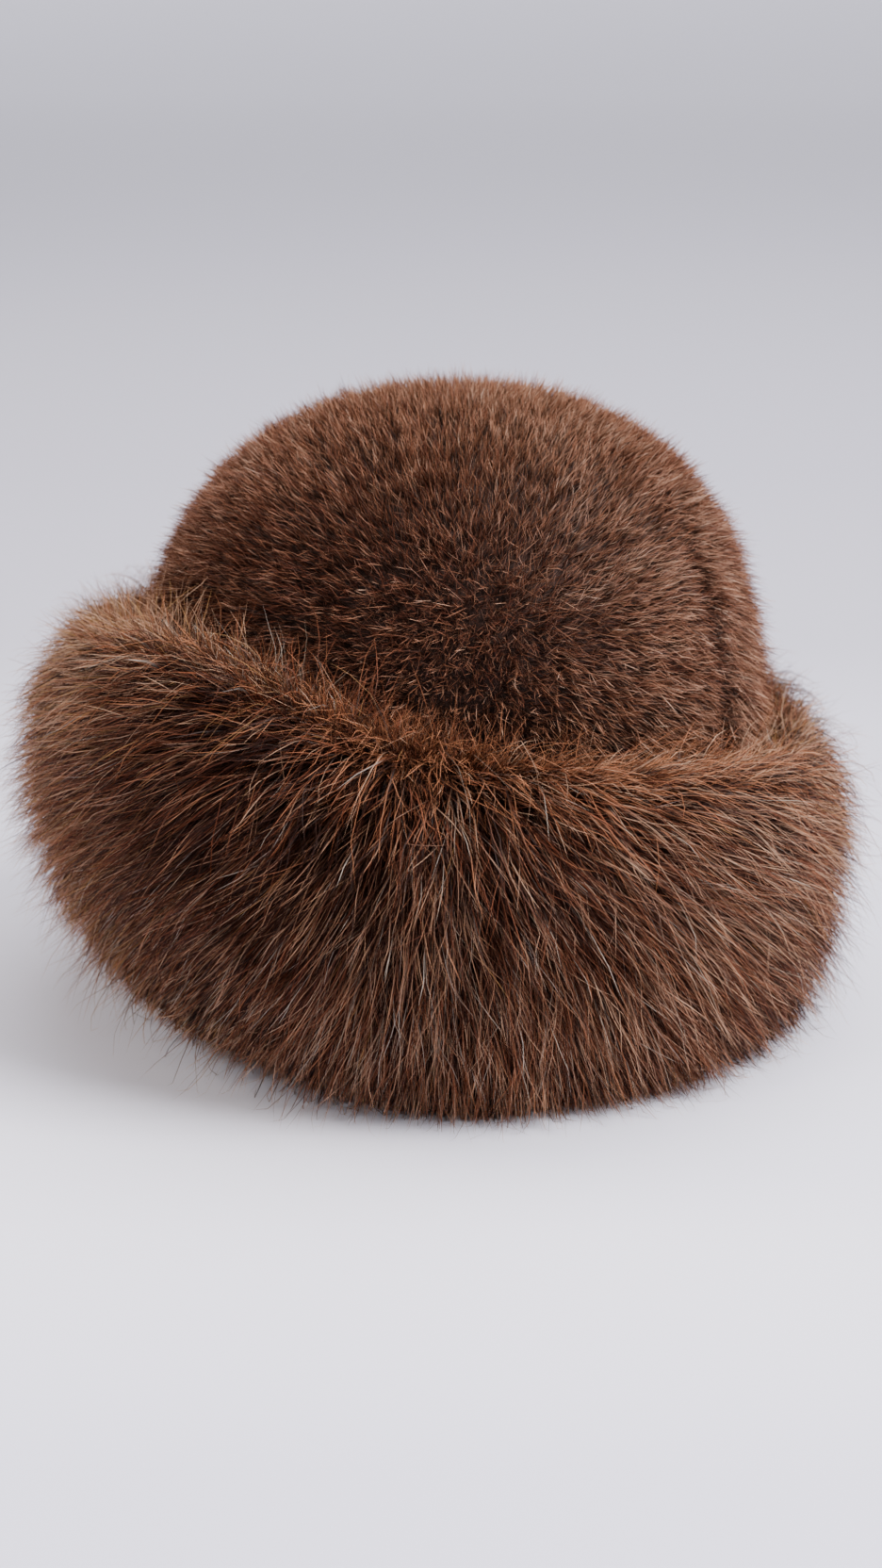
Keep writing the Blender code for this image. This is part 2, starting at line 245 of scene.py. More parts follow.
@dataclass(frozen=True)
class HatForm:
    """The hat's outer form, as its solids have it, on which all the pieces are placed.

    Args:
        middle: The crown's axis, as X and Y.
        half_breadth: Half of the crown's width at its hem.
        half_length: Half of its depth from front to back there.
        gap: The gap between the crown and the cuff.
        rim_dip: How far the cuff's rim lies below its crest.
        crest_share: Where the crest lies along the section, from the rim at 0 to the foot at 1.
        bulge_share: Where the section reaches out furthest.
        belly_flatness: How flat the section is below that.
        heart_reach: How far the section's heart lies from the crown.
        outline_step: The steps of the outline's table, in degrees.
        outline_points: How many points of a section its row is read from.
        reach_rounds: How often a point's nearest place on the crown is sought anew.
        probe_turn: The half step round a form from which its lay is taken, in degrees.
        probe_step: The half step along it.
        core: Points nearer the crown's middle than this share of its size are moved no further.
        crown_rings: Height, size as a share of the hem's, and lean to +X of each of the crown's levels.
        cuff_sections: Crest height and reach, bulge height and reach, foot height and reach of the cuff's
            section, every 45 degrees from the front.
    """

    middle: tuple[float, float]
    half_breadth: float = 0.1015
    half_length: float = 0.1145
    gap: float = 0.0008
    rim_dip: float = 0.012
    crest_share: float = 0.16
    bulge_share: float = 0.62
    belly_flatness: float = 1.25
    heart_reach: float = 0.004
    outline_step: float = 5.0
    outline_points: int = 400
    reach_rounds: int = 3
    probe_turn: float = 0.5
    probe_step: float = 0.001
    core: float = 0.5
    # Height, size, lean
    crown_rings: tuple[tuple[float, ...], ...] = (
        (0.0050, 1.000, 0.0000),
        (0.0300, 1.002, 0.0000),
        (0.0600, 1.004, 0.0000),
        (0.0920, 1.002, 0.0000),
        (0.1120, 0.990, 0.0000),
        (0.1300, 0.958, 0.0000),
        (0.1470, 0.902, 0.0000),
        (0.1610, 0.824, 0.0003),
        (0.1720, 0.735, 0.0006),
        (0.1810, 0.625, 0.0010),
        (0.1885, 0.495, 0.0014),
        (0.1940, 0.355, 0.0018),
        (0.1970, 0.215, 0.0022),
        (0.1985, 0.090, 0.0024),
        (0.1990, 0.000, 0.0024),
    )
    # Crest height, crest reach, bulge height, bulge reach, foot height, foot reach
    cuff_sections: tuple[tuple[float, ...], ...] = (
        (0.109, 0.014, 0.058, 0.029, 0.000, 0.013),
        (0.096, 0.013, 0.056, 0.028, 0.000, 0.013),
        (0.084, 0.011, 0.055, 0.025, 0.000, 0.010),
        (0.090, 0.012, 0.056, 0.026, 0.000, 0.010),
        (0.100, 0.013, 0.058, 0.028, 0.000, 0.012),
        (0.111, 0.013, 0.062, 0.030, 0.000, 0.010),
        (0.119, 0.013, 0.068, 0.033, 0.007, 0.009),
        (0.131, 0.014, 0.068, 0.032, 0.006, 0.012),
    )

    @property
    def top_level(self) -> int:
        """The crown's highest level, counted in rings."""
        return len(self.crown_rings) - 1

    def oval(self, azimuth: Array, height: Array, spread: Array, lean: Array, inset: Array) -> Array:
        """Points of the crown's oval, or inside it by the inset.

        Args:
            azimuth: The places' azimuths.
            height: Their heights.
            spread: The oval's size there, as a share of the hem's.
            lean: How far it lies to +X there.
            inset: How far inside it the points lie.

        Returns:
            The points.
        """
        turn = np.radians(azimuth)
        x = lean + np.maximum(self.half_breadth * spread - inset, 0.0) * np.sin(turn)
        y = -np.maximum(self.half_length * spread - inset, 0.0) * np.cos(turn)
        return np.stack([x + self.middle[0], y + self.middle[1], height], axis=-1)

    def crown(self, azimuth: Array, level: Array) -> Array:
        """Points of the crown's outer form, by azimuth and by level from 0 at the hem to the top."""
        height, spread, lean = np.moveaxis(smooth_rows(np.array(self.crown_rings), level, False), -1, 0)
        return self.oval(azimuth, height, spread, lean, np.zeros_like(height))

    def crown_at(self, height: Array) -> tuple[Array, Array]:
        """The crown's size and lean at each height."""
        rings = np.array(self.crown_rings)
        return tuple(np.interp(height, rings[:, 0], rings[:, column]) for column in (1, 2))

    def crown_level(self, height: Array) -> Array:
        """The crown's level at each height."""
        heights = np.array(self.crown_rings)[:, 0]
        return np.interp(height, heights, np.arange(len(heights)))

    def section(self, azimuth: Array) -> Array:
        """The cuff's section at each azimuth, as the columns of its table."""
        rows = np.array(self.cuff_sections)
        return smooth_rows(rows, (azimuth % 360.0) / (360.0 / len(rows)), True)

    def beside_crown(self, azimuth: Array, reach: Array, height: Array) -> Array:
        """Points straight out from the crown's side by the reach.

        Args:
            azimuth: The places' azimuths.
            reach: How far out they lie.
            height: Their heights.

        Returns:
            The points.
        """
        spread, lean = self.crown_at(height)
        turn = np.radians(azimuth)
        outward = unit(
            np.stack(
                [np.sin(turn) / self.half_breadth, -np.cos(turn) / self.half_length, 0 * turn], axis=-1
            )
        )
        side = self.oval(azimuth, height, spread, lean, np.zeros_like(height))
        return side + outward * reach[..., None]

    def cuff_profile(self, azimuth: Array, along: Array) -> tuple[Array, Array]:
        """The reach and height of the cuff's outer form, from its rim at 0 to its foot at 1.

        Args:
            azimuth: The places' azimuths.
            along: Where they lie along it.

        Returns:
            The reaches and the heights.
        """
        crest_height, crest_reach, bulge_height, bulge_reach, foot_height, foot_reach = np.moveaxis(
            self.section(azimuth), -1, 0
        )
        quarter = math.pi / 2
        rise = quarter * np.clip(along / self.crest_share, 0, 1)
        turn = quarter * np.clip(
            (along - self.crest_share) / (self.bulge_share - self.crest_share), 0, 1
        )
        fall = quarter * np.clip((along - self.bulge_share) / (1 - self.bulge_share), 0, 1)
        belly = np.cos(fall) ** self.belly_flatness
        parts = [along < self.crest_share, along < self.bulge_share]
        reach = np.select(
            parts,
            [
                crest_reach - (crest_reach - self.gap) * np.cos(rise),
                crest_reach + (bulge_reach - crest_reach) * np.sin(turn),
            ],
            foot_reach + (bulge_reach - foot_reach) * belly,
        )
        height = np.select(
            parts,
            [
                crest_height - self.rim_dip * (1 - np.sin(rise)),
                bulge_height + (crest_height - bulge_height) * np.cos(turn),
            ],
            bulge_height - (bulge_height - foot_height) * np.sin(fall) ** self.belly_flatness,
        )
        return reach, height

    def cuff(self, azimuth: Array, along: Array) -> Array:
        """Points of the cuff's outer form."""
        return self.beside_crown(azimuth, *self.cuff_profile(azimuth, along))

    @cached_property
    def cuff_outline(self) -> Array:
        """How far the cuff's outer form lies from the heart of its section, by azimuth and by angle."""
        along = np.linspace(0, 1, self.outline_points)
        rows = []
        for azimuth in np.arange(0.0, 360.0, self.outline_step):
            places = np.full_like(along, azimuth)
            reach, height = self.cuff_profile(places, along)
            over, above = reach - self.heart_reach, height - self.section(places)[:, 2]
            angle = np.degrees(np.arctan2(above, over))
            order = np.argsort(angle)
            rows.append(np.interp(self.outline_angles, angle[order], np.hypot(over, above)[order]))
        return np.array(rows)

    @property
    def outline_angles(self) -> Array:
        """The angles at which the cuff's outline is kept."""
        return np.arange(-180.0, 180.0 + self.outline_step, self.outline_step)

    def about_crown(self, points: Array) -> tuple[Array, Array, Array, Array, Array]:
        """The points' X and Y from the crown's middle, and its half breadth, half length and lean there.

        Args:
            points: The points.

        Returns:
            Five rows of numbers, in that order.
        """
        spread, lean = self.crown_at(points[..., 2])
        x, y = points[..., 0] - self.middle[0] - lean, points[..., 1] - self.middle[1]
        return x, y, self.half_breadth * spread, self.half_length * spread, lean

    def beyond_cuff(self, points: Array) -> Array:
        """How far points lie outside the cuff's outer form, and below zero inside it.

        Args:
            points: The points.

        Returns:
            The distances.
        """
        x, y, breadth, length, _ = self.about_crown(points)
        reach = np.zeros_like(x)
        for _ in range(self.reach_rounds):
            turn = np.arctan2(x / (breadth + reach), -y / (length + reach))
            sine, cosine = np.sin(turn), np.cos(turn)
            out_x, out_y = sine / self.half_breadth, -cosine / self.half_length
            past = (x - breadth * sine) * out_x + (y + length * cosine) * out_y
            reach = past / np.hypot(out_x, out_y)
        azimuth = np.degrees(turn) % 360.0
        over, above = reach - self.heart_reach, points[..., 2] - self.section(azimuth)[..., 2]
        angle = np.degrees(np.arctan2(above, over))
        table, step = self.cuff_outline, self.outline_step
        row, column = azimuth / step, (angle + 180.0) / step
        low_row = np.floor(row).astype(int)
        low_column = np.minimum(column.astype(int), table.shape[1] - 2)
        row_share, column_share = row - low_row, column - low_column

        def at(shift: int) -> Array:
            """The outline between two azimuths, at the column before or after each place.

            Args:
                shift: 0 for the column before, 1 for the one after.

            Returns:
                The outline.
            """
            columns = low_column + shift
            low, high = (table[rows % len(table), columns] for rows in (low_row, low_row + 1))
            return low + (high - low) * row_share

        before, after = at(0), at(1)
        outline = before + (after - before) * column_share
        slope = (after - before) / math.radians(step)
        return (np.hypot(over, above) - outline) * outline / np.hypot(outline, slope)

    def lay(self, surface: Surface, azimuth: Array, along: Array, falls: bool) -> Lay:
        """The lay of a surface at some places.

        Args:
            surface: Gives points by azimuth and by place along it.
            azimuth: The places' azimuths.
            along: The places along the surface.
            falls: Whether the surface goes down, or over and down, as its second number grows.

        Returns:
            The points and the unit vectors there.
        """
        step, turn = self.probe_step, self.probe_turn
        run = surface(azimuth, along + step) - surface(azimuth, along - step)
        around = surface(azimuth + turn, along) - surface(azimuth - turn, along)
        sizes = (np.maximum(np.linalg.norm(way, axis=-1), NO_STEP) for way in (around, run))
        rate = np.stack([2 * size / length for size, length in zip((turn, step), sizes)])
        down = unit(run if falls else -run)
        out = across(down, unit(around))
        return Lay(surface(azimuth, along), down, across(out, down), out, rate)

    def clear_of_crown(self, points: Array) -> Array:
        """The points, moved out where they lie in the crown.

        Args:
            points: The points.

        Returns:
            The moved points.
        """
        x, y, breadth, length, lean = self.about_crown(points)
        size = np.clip(np.hypot(x / breadth, y / length), self.core, 1.0)
        grow = np.where(points[..., 2] < self.crown_rings[-1][0], 1 / size, 1.0)
        moved = points.copy()
        moved[..., 0] = x * grow + self.middle[0] + lean
        moved[..., 1] = y * grow + self.middle[1]
        return moved


def above_floor(points: Array) -> Array:
    """The points, with those near or under the floor laid on it.

    Args:
        points: The points.

    Returns:
        The moved points.
    """
    raised = points.copy()
    height = points[..., 2]
    raised[..., 2] = 0.5 * (height + np.sqrt(height**2 + 4 * FLOOR_CLEARANCE**2))
    return raised


@dataclass
class Seeds:
    """Places on a form where hairs grow.

    Args:
        azimuth: Their azimuths.
        along: How far along the form they are.
    """

    azimuth: Array
    along: Array


def scatter(
    surface: Surface,
    count: int,
    span: tuple[float, float],
    azimuths: tuple[float, float],
    weight: Callable[[Array, Array], Array],
    rng: np.random.Generator,
) -> Seeds:
    """Scatters places over a form, as many to each bit of area wherever the weight is the same.

    Args:
        surface: Gives points by azimuth and by place along it.
        count: How many places.
        span: The lowest and highest place along the form.
        azimuths: The lowest and highest azimuth.
        weight: How thickly the places lie, by azimuth and along.
        rng: The source of chance.

    Returns:
        The places.
    """
    rows, columns = SCATTER_GRID
    edge_a = np.linspace(*azimuths, columns + 1)
    edge_v = np.linspace(*span, rows + 1)
    azimuth, along = np.meshgrid(edge_a, edge_v)
    points = surface(azimuth, along)
    one = points[1:, 1:] - points[:-1, :-1]
    other = points[1:, :-1] - points[:-1, 1:]
    area = 0.5 * np.linalg.norm(np.cross(one, other), axis=-1)
    middle_a, middle_v = np.meshgrid((edge_a[1:] + edge_a[:-1]) / 2, (edge_v[1:] + edge_v[:-1]) / 2)
    share = (area * weight(middle_a, middle_v)).ravel()
    cell = rng.choice(share.size, count, p=share / share.sum())
    row, column = cell // columns, cell % columns
    return Seeds(
        edge_a[column] + rng.random(count) * (edge_a[1] - edge_a[0]),
        edge_v[row] + rng.random(count) * (edge_v[1] - edge_v[0]),
    )


@dataclass
class Hairs:
    """Some hairs.

    Args:
        points: The points of each, from root to tip.
        facing: The way that its ribbon faces.
        width: Its full width.
        tone: Its tone.
    """

    points: Array
    facing: Array
    width: Array
    tone: Array

    def part(self, rows: Array) -> "Hairs":
        """Some of the hairs."""
        return Hairs(self.points[rows], self.facing[rows], self.width[rows], self.tone[rows])


def nearest(points: Array, centres: Array) -> Array:
    """The number of the centre that lies nearest to each point.

    Args:
        points: The points.
        centres: The centres.

    Returns:
        A number for each point.
    """
    chunks = np.array_split(points, 1 + len(points) * len(centres) // LARGEST_TABLE)
    gaps = (np.sum((chunk[:, None] - centres[None]) ** 2, axis=-1) for chunk in chunks)
    return np.concatenate([np.argmin(gap, axis=1) for gap in gaps])


def cut_back(paths: Array, cut: Array) -> Array:
    """The strands, each cut at a place counted in points from its root, with its points spaced anew.

    Args:
        paths: The points of each strand, from root to tip.
        cut: The place of each one's cut.

    Returns:
        The points of the cut strands.
    """
    count, stations = paths.shape[:2]
    at = np.linspace(0, 1, stations) * cut[:, None]
    low = np.minimum(at.astype(int), stations - 2)
    share = (at - low)[..., None]
    rows = np.arange(count)[:, None]
    return paths[rows, low] * (1 - share) + paths[rows, low + 1] * share


def ribbons(name: str, hairs: Hairs, painted_glow: float) -> bpy.types.Object:
    """Joins hairs in a mesh of ribbons, with a map whose U is a hair's tone and whose V runs to its tip.

    Args:
        name: The piece's name.
        hairs: The hairs.
        painted_glow: How far up its colour the root starts, from 0 to 1; above 0 it paints light on the
            hairs.

    Returns:
        The piece.
    """
    count, stations = hairs.points.shape[:2]
    run = np.gradient(hairs.points, axis=1)
    side = across(run, hairs.facing[:, None, :])
    share = np.linspace(0, 1, stations)
    taper = np.minimum(ROOT_WIDTH + SWELL * share, 1.0) * (1 - share**TAPER)
    half = 0.5 * hairs.width[:, None] * taper
    left = hairs.points - side * half[..., None]
    right = hairs.points + side * half[..., None]
    pairs = np.stack([left[:, :-1], right[:, :-1]], axis=2).reshape(count, -1, 3)
    vertices = np.concatenate([pairs, hairs.points[:, -1:]], axis=1)
    per_hair = 2 * (stations - 1) + 1
    quads = [[2 * i, 2 * i + 1, 2 * i + 3, 2 * i + 2] for i in range(stations - 2)]
    corners = np.array(sum(quads, []) + [per_hair - 3, per_hair - 2, per_hair - 1])
    sizes = np.array([4] * len(quads) + [3])
    loops = (np.arange(count)[:, None] * per_hair + corners).ravel()
    totals = np.tile(sizes, count)
    mesh = bpy.data.meshes.new(name)
    mesh.vertices.add(count * per_hair)
    vertices[..., 2] = np.maximum(vertices[..., 2], LOWEST)
    mesh.vertices.foreach_set("co", vertices.astype(np.float32).ravel())
    mesh.loops.add(len(loops))
    mesh.loops.foreach_set("vertex_index", loops.astype(np.int32))
    mesh.polygons.add(len(totals))
    starts = np.concatenate([[0], np.cumsum(totals)[:-1]])
    mesh.polygons.foreach_set("loop_start", starts.astype(np.int32))
    mesh.polygons.foreach_set("loop_total", totals.astype(np.int32))
    across_map = np.concatenate([np.tile([-1.0, 1.0], stations - 1), [0.0]]) * EDGE
    along_map = np.append(np.repeat(share[:-1], 2), 1.0)
    u = TONE_START + TONE_RANGE * hairs.tone[:, None] + across_map
    v = np.broadcast_to(ALONG_START + ALONG_RANGE * (painted_glow + (1 - painted_glow) * along_map), u.shape)
    place = np.stack([u.ravel()[loops], v.ravel()[loops]], axis=-1)
    layer = mesh.uv_layers.new(name=HAIR_MAP)
    layer.data.foreach_set("uv", place.astype(np.float32).ravel())
    mesh.update(calc_edges=True)
    mesh.validate()
    mesh.shade_smooth()
    made = bpy.data.objects.new(name, mesh)
    bpy.context.collection.objects.link(made)
    return made


class Operation(Enum):
    """What a Math node does with two numbers."""

    SUBTRACT = "SUBTRACT"
    MULTIPLY = "MULTIPLY"
    MINIMUM = "MINIMUM"
    MAXIMUM = "MAXIMUM"


class Value:
    """A number in a shader; each operator on it adds its Math node."""

    def __init__(self, board: "Board", socket: bpy.types.NodeSocket) -> None:
        """Wraps a socket of a board."""
        self.board = board
        self.socket = socket

    def __sub__(self, other: "Value | float") -> "Value":
        """This value less another."""
        return self.board.math(Operation.SUBTRACT, self, other)

    def __rsub__(self, other: float) -> "Value":
        """A number less this value."""
        return self.board.math(Operation.SUBTRACT, other, self)

    def __mul__(self, other: "Value | float") -> "Value":
        """This value times another."""
        return self.board.math(Operation.MULTIPLY, self, other)

    def __rmul__(self, other: float) -> "Value":
        """A number times this value."""
        return self.board.math(Operation.MULTIPLY, other, self)

    def clamped(self) -> "Value":
        """The value, kept between 0 and 1."""
        capped = self.board.math(Operation.MINIMUM, self, 1.0)
        return self.board.math(Operation.MAXIMUM, capped, 0.0)


class Board:
    """A material's nodes."""

    def __init__(self, name: str) -> None:
        """Makes a material of that name, with its shader alone."""
        self.material = bpy.data.materials.new(name)
        self.material.use_nodes = True
        self.nodes = self.material.node_tree.nodes
        self.links = self.material.node_tree.links
        self.shader = self.nodes["Principled BSDF"]

    def add(self, kind: str, settings: dict | None = None, inputs: dict | None = None) -> bpy.types.Node:
        """Adds a node.

        Args:
            kind: The node's type.
            settings: Its properties; "stops" are a ramp's places and colours.
            inputs: A value, a socket or a constant for each input, by name or number.

        Returns:
            The node.
        """
        node = self.nodes.new(kind)
        for key, setting in (settings or {}).items():
            if key == "stops":
                self.set_stops(node.color_ramp, setting)
            else:
                setattr(node, key, setting)
        self.plug(node, inputs or {})
        return node

    def plug(self, node: bpy.types.Node, inputs: dict) -> None:
        """Fills a node's inputs.

        Args:
            node: The node.
            inputs: A value, a socket or a constant for each input, by name or number.
        """
        for key, given in inputs.items():
            source = given.socket if isinstance(given, Value) else given
            if isinstance(source, bpy.types.NodeSocket):
                self.links.new(source, node.inputs[key])
            else:
                node.inputs[key].default_value = source

    @staticmethod
    def set_stops(ramp: bpy.types.ColorRamp, stops: Iterable[tuple[float, str]]) -> None:
        """Gives a ramp its stops.

        Args:
            ramp: The ramp.
            stops: The place and the colour of each, as hex digits.
        """
        while len(ramp.elements) > 1:
            ramp.elements.remove(ramp.elements[-1])
        for i, (place, code) in enumerate(stops):
            stop = ramp.elements[0] if i == 0 else ramp.elements.new(place)
            stop.position = place
            stop.color = (*colour(code), 1.0)

    def math(self, operation: Operation, one: Value | float, other: Value | float) -> Value:
        """The result of a Math node on two numbers."""
        node = self.add("ShaderNodeMath", {"operation": operation.value}, {0: one, 1: other})
        return Value(self, node.outputs[0])

    def ramp(self, value: Value, stops: Iterable[tuple[float, str]]) -> bpy.types.NodeSocket:
        """A colour picked from a ramp by a value."""
        return self.add("ShaderNodeValToRGB", {"stops": stops}, {0: value}).outputs[0]

    def mix(self, factor: Value, one: object, other: object) -> bpy.types.NodeSocket:
        """Mixes two colours.

        Args:
            factor: How much of the other colour there is.
            one: A colour, as a socket or as three numbers.
            other: The other colour.

        Returns:
            The mixed colour.
        """
        colours = [(*c, 1.0) if isinstance(c, tuple) else c for c in (one, other)]
        inputs = {0: factor, 6: colours[0], 7: colours[1]}
        return self.add("ShaderNodeMix", {"data_type": "RGBA"}, inputs).outputs[2]

    def noise(self, scale: float, detail: float = 3.0) -> Value:
        """Makes a noise over the object's own coordinates.

        Args:
            scale: How fine it is.
            detail: How many finer layers it has.

        Returns:
            The noise.
        """
        place = self.add("ShaderNodeTexCoord").outputs["Object"]
        inputs = {"Vector": place, "Scale": scale, "Detail": detail}
        return Value(self, self.add("ShaderNodeTexNoise", None, inputs).outputs[0])

    def finish(self, inputs: dict) -> bpy.types.Material:
        """Sets the shader's own inputs and gives the material."""
        self.plug(self.shader, inputs)
        return self.material


def colour(code: str) -> tuple[float, float, float]:
    """A colour from its six hex digits, as the linear numbers that a shader takes."""
    parts = (int(code[i : i + 2], 16) / 255 for i in (0, 2, 4))
    return tuple(p / 12.92 if p <= 0.04045 else ((p + 0.055) / 1.055) ** 2.4 for p in parts)


@dataclass(frozen=True)
class FurFinish:
    """Hair that is dark at its root, partly its own colour and partly painted shade deep in the fur, and
    takes its tone from a chart.

    Args:
        name: The material's name.
        root: The colour at the root, as hex digits.
        chart: The tones' places along the chart, and the colours of their tips.
        shade_start: Where along the hair the root's colour begins to give way.
        shade_end: Where the tip's colour is reached.
        roughness: The hair's roughness.
        gloss: How much it mirrors.
        sheen: How much soft light its edges catch.
        sheen_tint: That light's colour.
        sheen_roughness: How wide that light spreads.
    """

    name: str
    root: str
    chart: tuple[tuple[float, str], ...]
    shade_start: float
    shade_end: float
    roughness: float
    gloss: float
    sheen: float
    sheen_tint: str
    sheen_roughness: float = 0.5

    def material(self) -> bpy.types.Material:
        """The material, whose colours read the hairs' own map."""
        board = Board(self.name)
        place = board.add("ShaderNodeUVMap", {"uv_map": HAIR_MAP}).outputs[0]
        split = board.add("ShaderNodeSeparateXYZ", None, {0: place})
        tone, along = Value(board, split.outputs[0]), Value(board, split.outputs[1])
        tip = board.ramp(tone, self.chart)
        span = self.shade_end - self.shade_start
        share = ((along - self.shade_start) * (1 / span)).clamped()
        # The dark root is partly the fur's own colour and partly painted shade deep in the fur
        base = board.mix(share, colour(self.root), tip)
        return board.finish(
            {
                "Base Color": base,
                "Roughness": self.roughness,
                "Specular IOR Level": self.gloss,
                "Sheen Weight": self.sheen,
                "Sheen Roughness": self.sheen_roughness,
                "Sheen Tint": (*colour(self.sheen_tint), 1.0),
            }
        )


@dataclass(frozen=True)
class SkinFinish:
    """The matted under-wool or the bare skin that carries the hair.

    Args:
        name: The material's name.
        dark: Its darker colour, as hex digits.
        light: Its lighter colour.
        grain: The scale of its mottling.
        relief: How deep its grain is, in metres.
        strength: How strongly the grain shows.
        fineness: How many times finer the grain is than the mottling.
        contrast: How strong the mottling is.
        darkness: How much of it is dark.
        roughness: Its roughness.
    """

    name: str
    dark: str
    light: str
    grain: float
    relief: float
    strength: float = 0.8
    fineness: float = 6.0
    contrast: float = 2.4
    darkness: float = 0.7
    roughness: float = 0.95

    def material(self) -> bpy.types.Material:
        """The material."""
        board = Board(self.name)
        mottle = (board.noise(self.grain, detail=4.0) * self.contrast - self.darkness).clamped()
        base = board.mix(mottle, colour(self.dark), colour(self.light))
        height = board.noise(self.grain * self.fineness)
        inputs = {"Height": height, "Distance": self.relief, "Strength": self.strength}
        relief = board.add("ShaderNodeBump", None, inputs).outputs[0]
        return board.finish({"Base Color": base, "Roughness": self.roughness, "Normal": relief})


def deselect() -> None:
    """Deselects every object."""
    bpy.ops.object.select_all(action="DESELECT")


def azimuth_of(points: Array) -> Array:
    """The azimuths of points round the origin."""
    return np.degrees(np.arctan2(points[:, 0], -points[:, 1]))


def points_of(mesh: bpy.types.Mesh) -> Array:
    """A mesh's points, as rows.

    Args:
        mesh: The mesh.

    Returns:
        A row for each point.
    """
    flat = np.empty(len(mesh.vertices) * 3)
    mesh.vertices.foreach_get("co", flat)
    return flat.reshape(-1, 3)


def move_points(mesh: bpy.types.Mesh, points: Array) -> None:
    """Moves a mesh's points."""
    mesh.vertices.foreach_set("co", points.ravel())
    mesh.update()


def dress(piece: bpy.types.Object, material: bpy.types.Material, slot: str) -> None:
    """Gives a piece its finish, lets it ride, and reports it.

    Args:
        piece: The piece.
        material: Its finish.
        slot: Its slot; not used.
    """
    piece.data.materials.clear()
    piece.data.materials.append(material)
    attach(piece, BODY)
    triangles = sum(len(face.vertices) - 2 for face in piece.data.polygons)
    LOG.info("%s: %d triangles", piece.name, triangles)


@dataclass(frozen=True)
class Clumps:
    """The large, loose clumps into which a fur falls.

    Args:
        count: How many there are.
        gather: How far wisps are drawn towards their clump's middle at the tip, from 0 to 1.
        turn: How much the clumps' directions vary, in degrees.
        lift: How much their lifts vary, in degrees.
        length: How much their lengths vary, as a share.
        tone: How much their tones vary.
    """

    count: int
    gather: float
    turn: float
    lift: float
    length: float
    tone: float


@dataclass(frozen=True)
class Coat:
    """One coat of a fur, which grows in wisps of a few hairs.

    Args:
        name: The coat's name, and its pieces'.
        wisps: How many wisps it has.
        hairs: How many hairs each wisp has.
        width: The hairs' width, in metres.
        spread: How far a wisp's roots lie apart, in metres.
        tone: The middle of its tones.
        wisp_tone: How much the tones vary from wisp to wisp.
        hair_tone: How much they vary from hair to hair.
        stations: How many points each hair has.
        length: Its length, as a share of the fur's own at each place.
        lift: How much further it stands up than the fur does, in degrees.
        proud: How much further it may stand out than the fur does, in metres.
        turn: How much the wisps' directions and lifts vary, in degrees.
        stray: How far a hair's tip leaves its wisp, as a share of its length.
        gather: How far a wisp's hairs are drawn together at the tip, from 0 to 1.
        wave: How far the wisps wave to each side, in metres.
        waves: How many waves they have.
        ragged: The greatest share of its length that a hair falls short.
        span: The lowest and highest place along the form where it grows.
        azimuths: The lowest and highest azimuth where it grows.
        painted_glow: How far up its colour its root starts, from 0 to 1: painted light on thin hairs that
            stand clear of the fur.
        pieces: How many pieces it is split into round the hat.
    """

    name: str
    wisps: int
    hairs: int
    width: float
    spread: float
    tone: float
    wisp_tone: float
    hair_tone: float
    stations: int
    length: float = 1.0
    lift: float = 0.0
    proud: float = 0.0
    turn: float = 7.0
    stray: float = 0.05
    gather: float = 0.5
    wave: float = 0.0012
    waves: float = 0.8
    ragged: float = 0.3
    span: tuple[float, float] = (0.0, 0.97)
    azimuths: tuple[float, float] = (-180.0, 180.0)
    # Painted light on thin hairs that stand clear of the fur
    painted_glow: float = 0.0
    pieces: int = 1


@dataclass(frozen=True)
class Strain:
    """Hairs of another colour among a fur's own.

    Args:
        tone: The middle of their tones.
        shares: Where they grow, as shares of all the hairs.
        follow: How far they follow the fur's own steps in tone.
        steps: The most that they do so, darker and lighter.
        span: The lowest and highest tone that they may have.
        tones: Where they are lighter or darker than elsewhere, as painted light and shade.
    """

    tone: float
    shares: tuple[Patch, ...]
    follow: float
    steps: tuple[float, float]
    span: tuple[float, float]
    tones: tuple[Patch, ...] = ()

    def dye(self, tone: Array, step: Array, places: Seeds, lot: Array) -> Array:
        """Gives some of the hairs the strain's tones.

        Args:
            tone: The hairs' tones.
            step: The fur's own steps in tone.
            places: Where the hairs grow.
            lot: The lot that each has drawn, from 0 to 1.

        Returns:
            The tones, with the strain's own wherever the lot is less than its share.
        """
        at = places.azimuth, places.along
        own = self.tone + np.clip(self.follow * step, *self.steps) + total(self.tones, *at)
        return np.where(lot < total(self.shares, *at), np.clip(own, *self.span), tone)


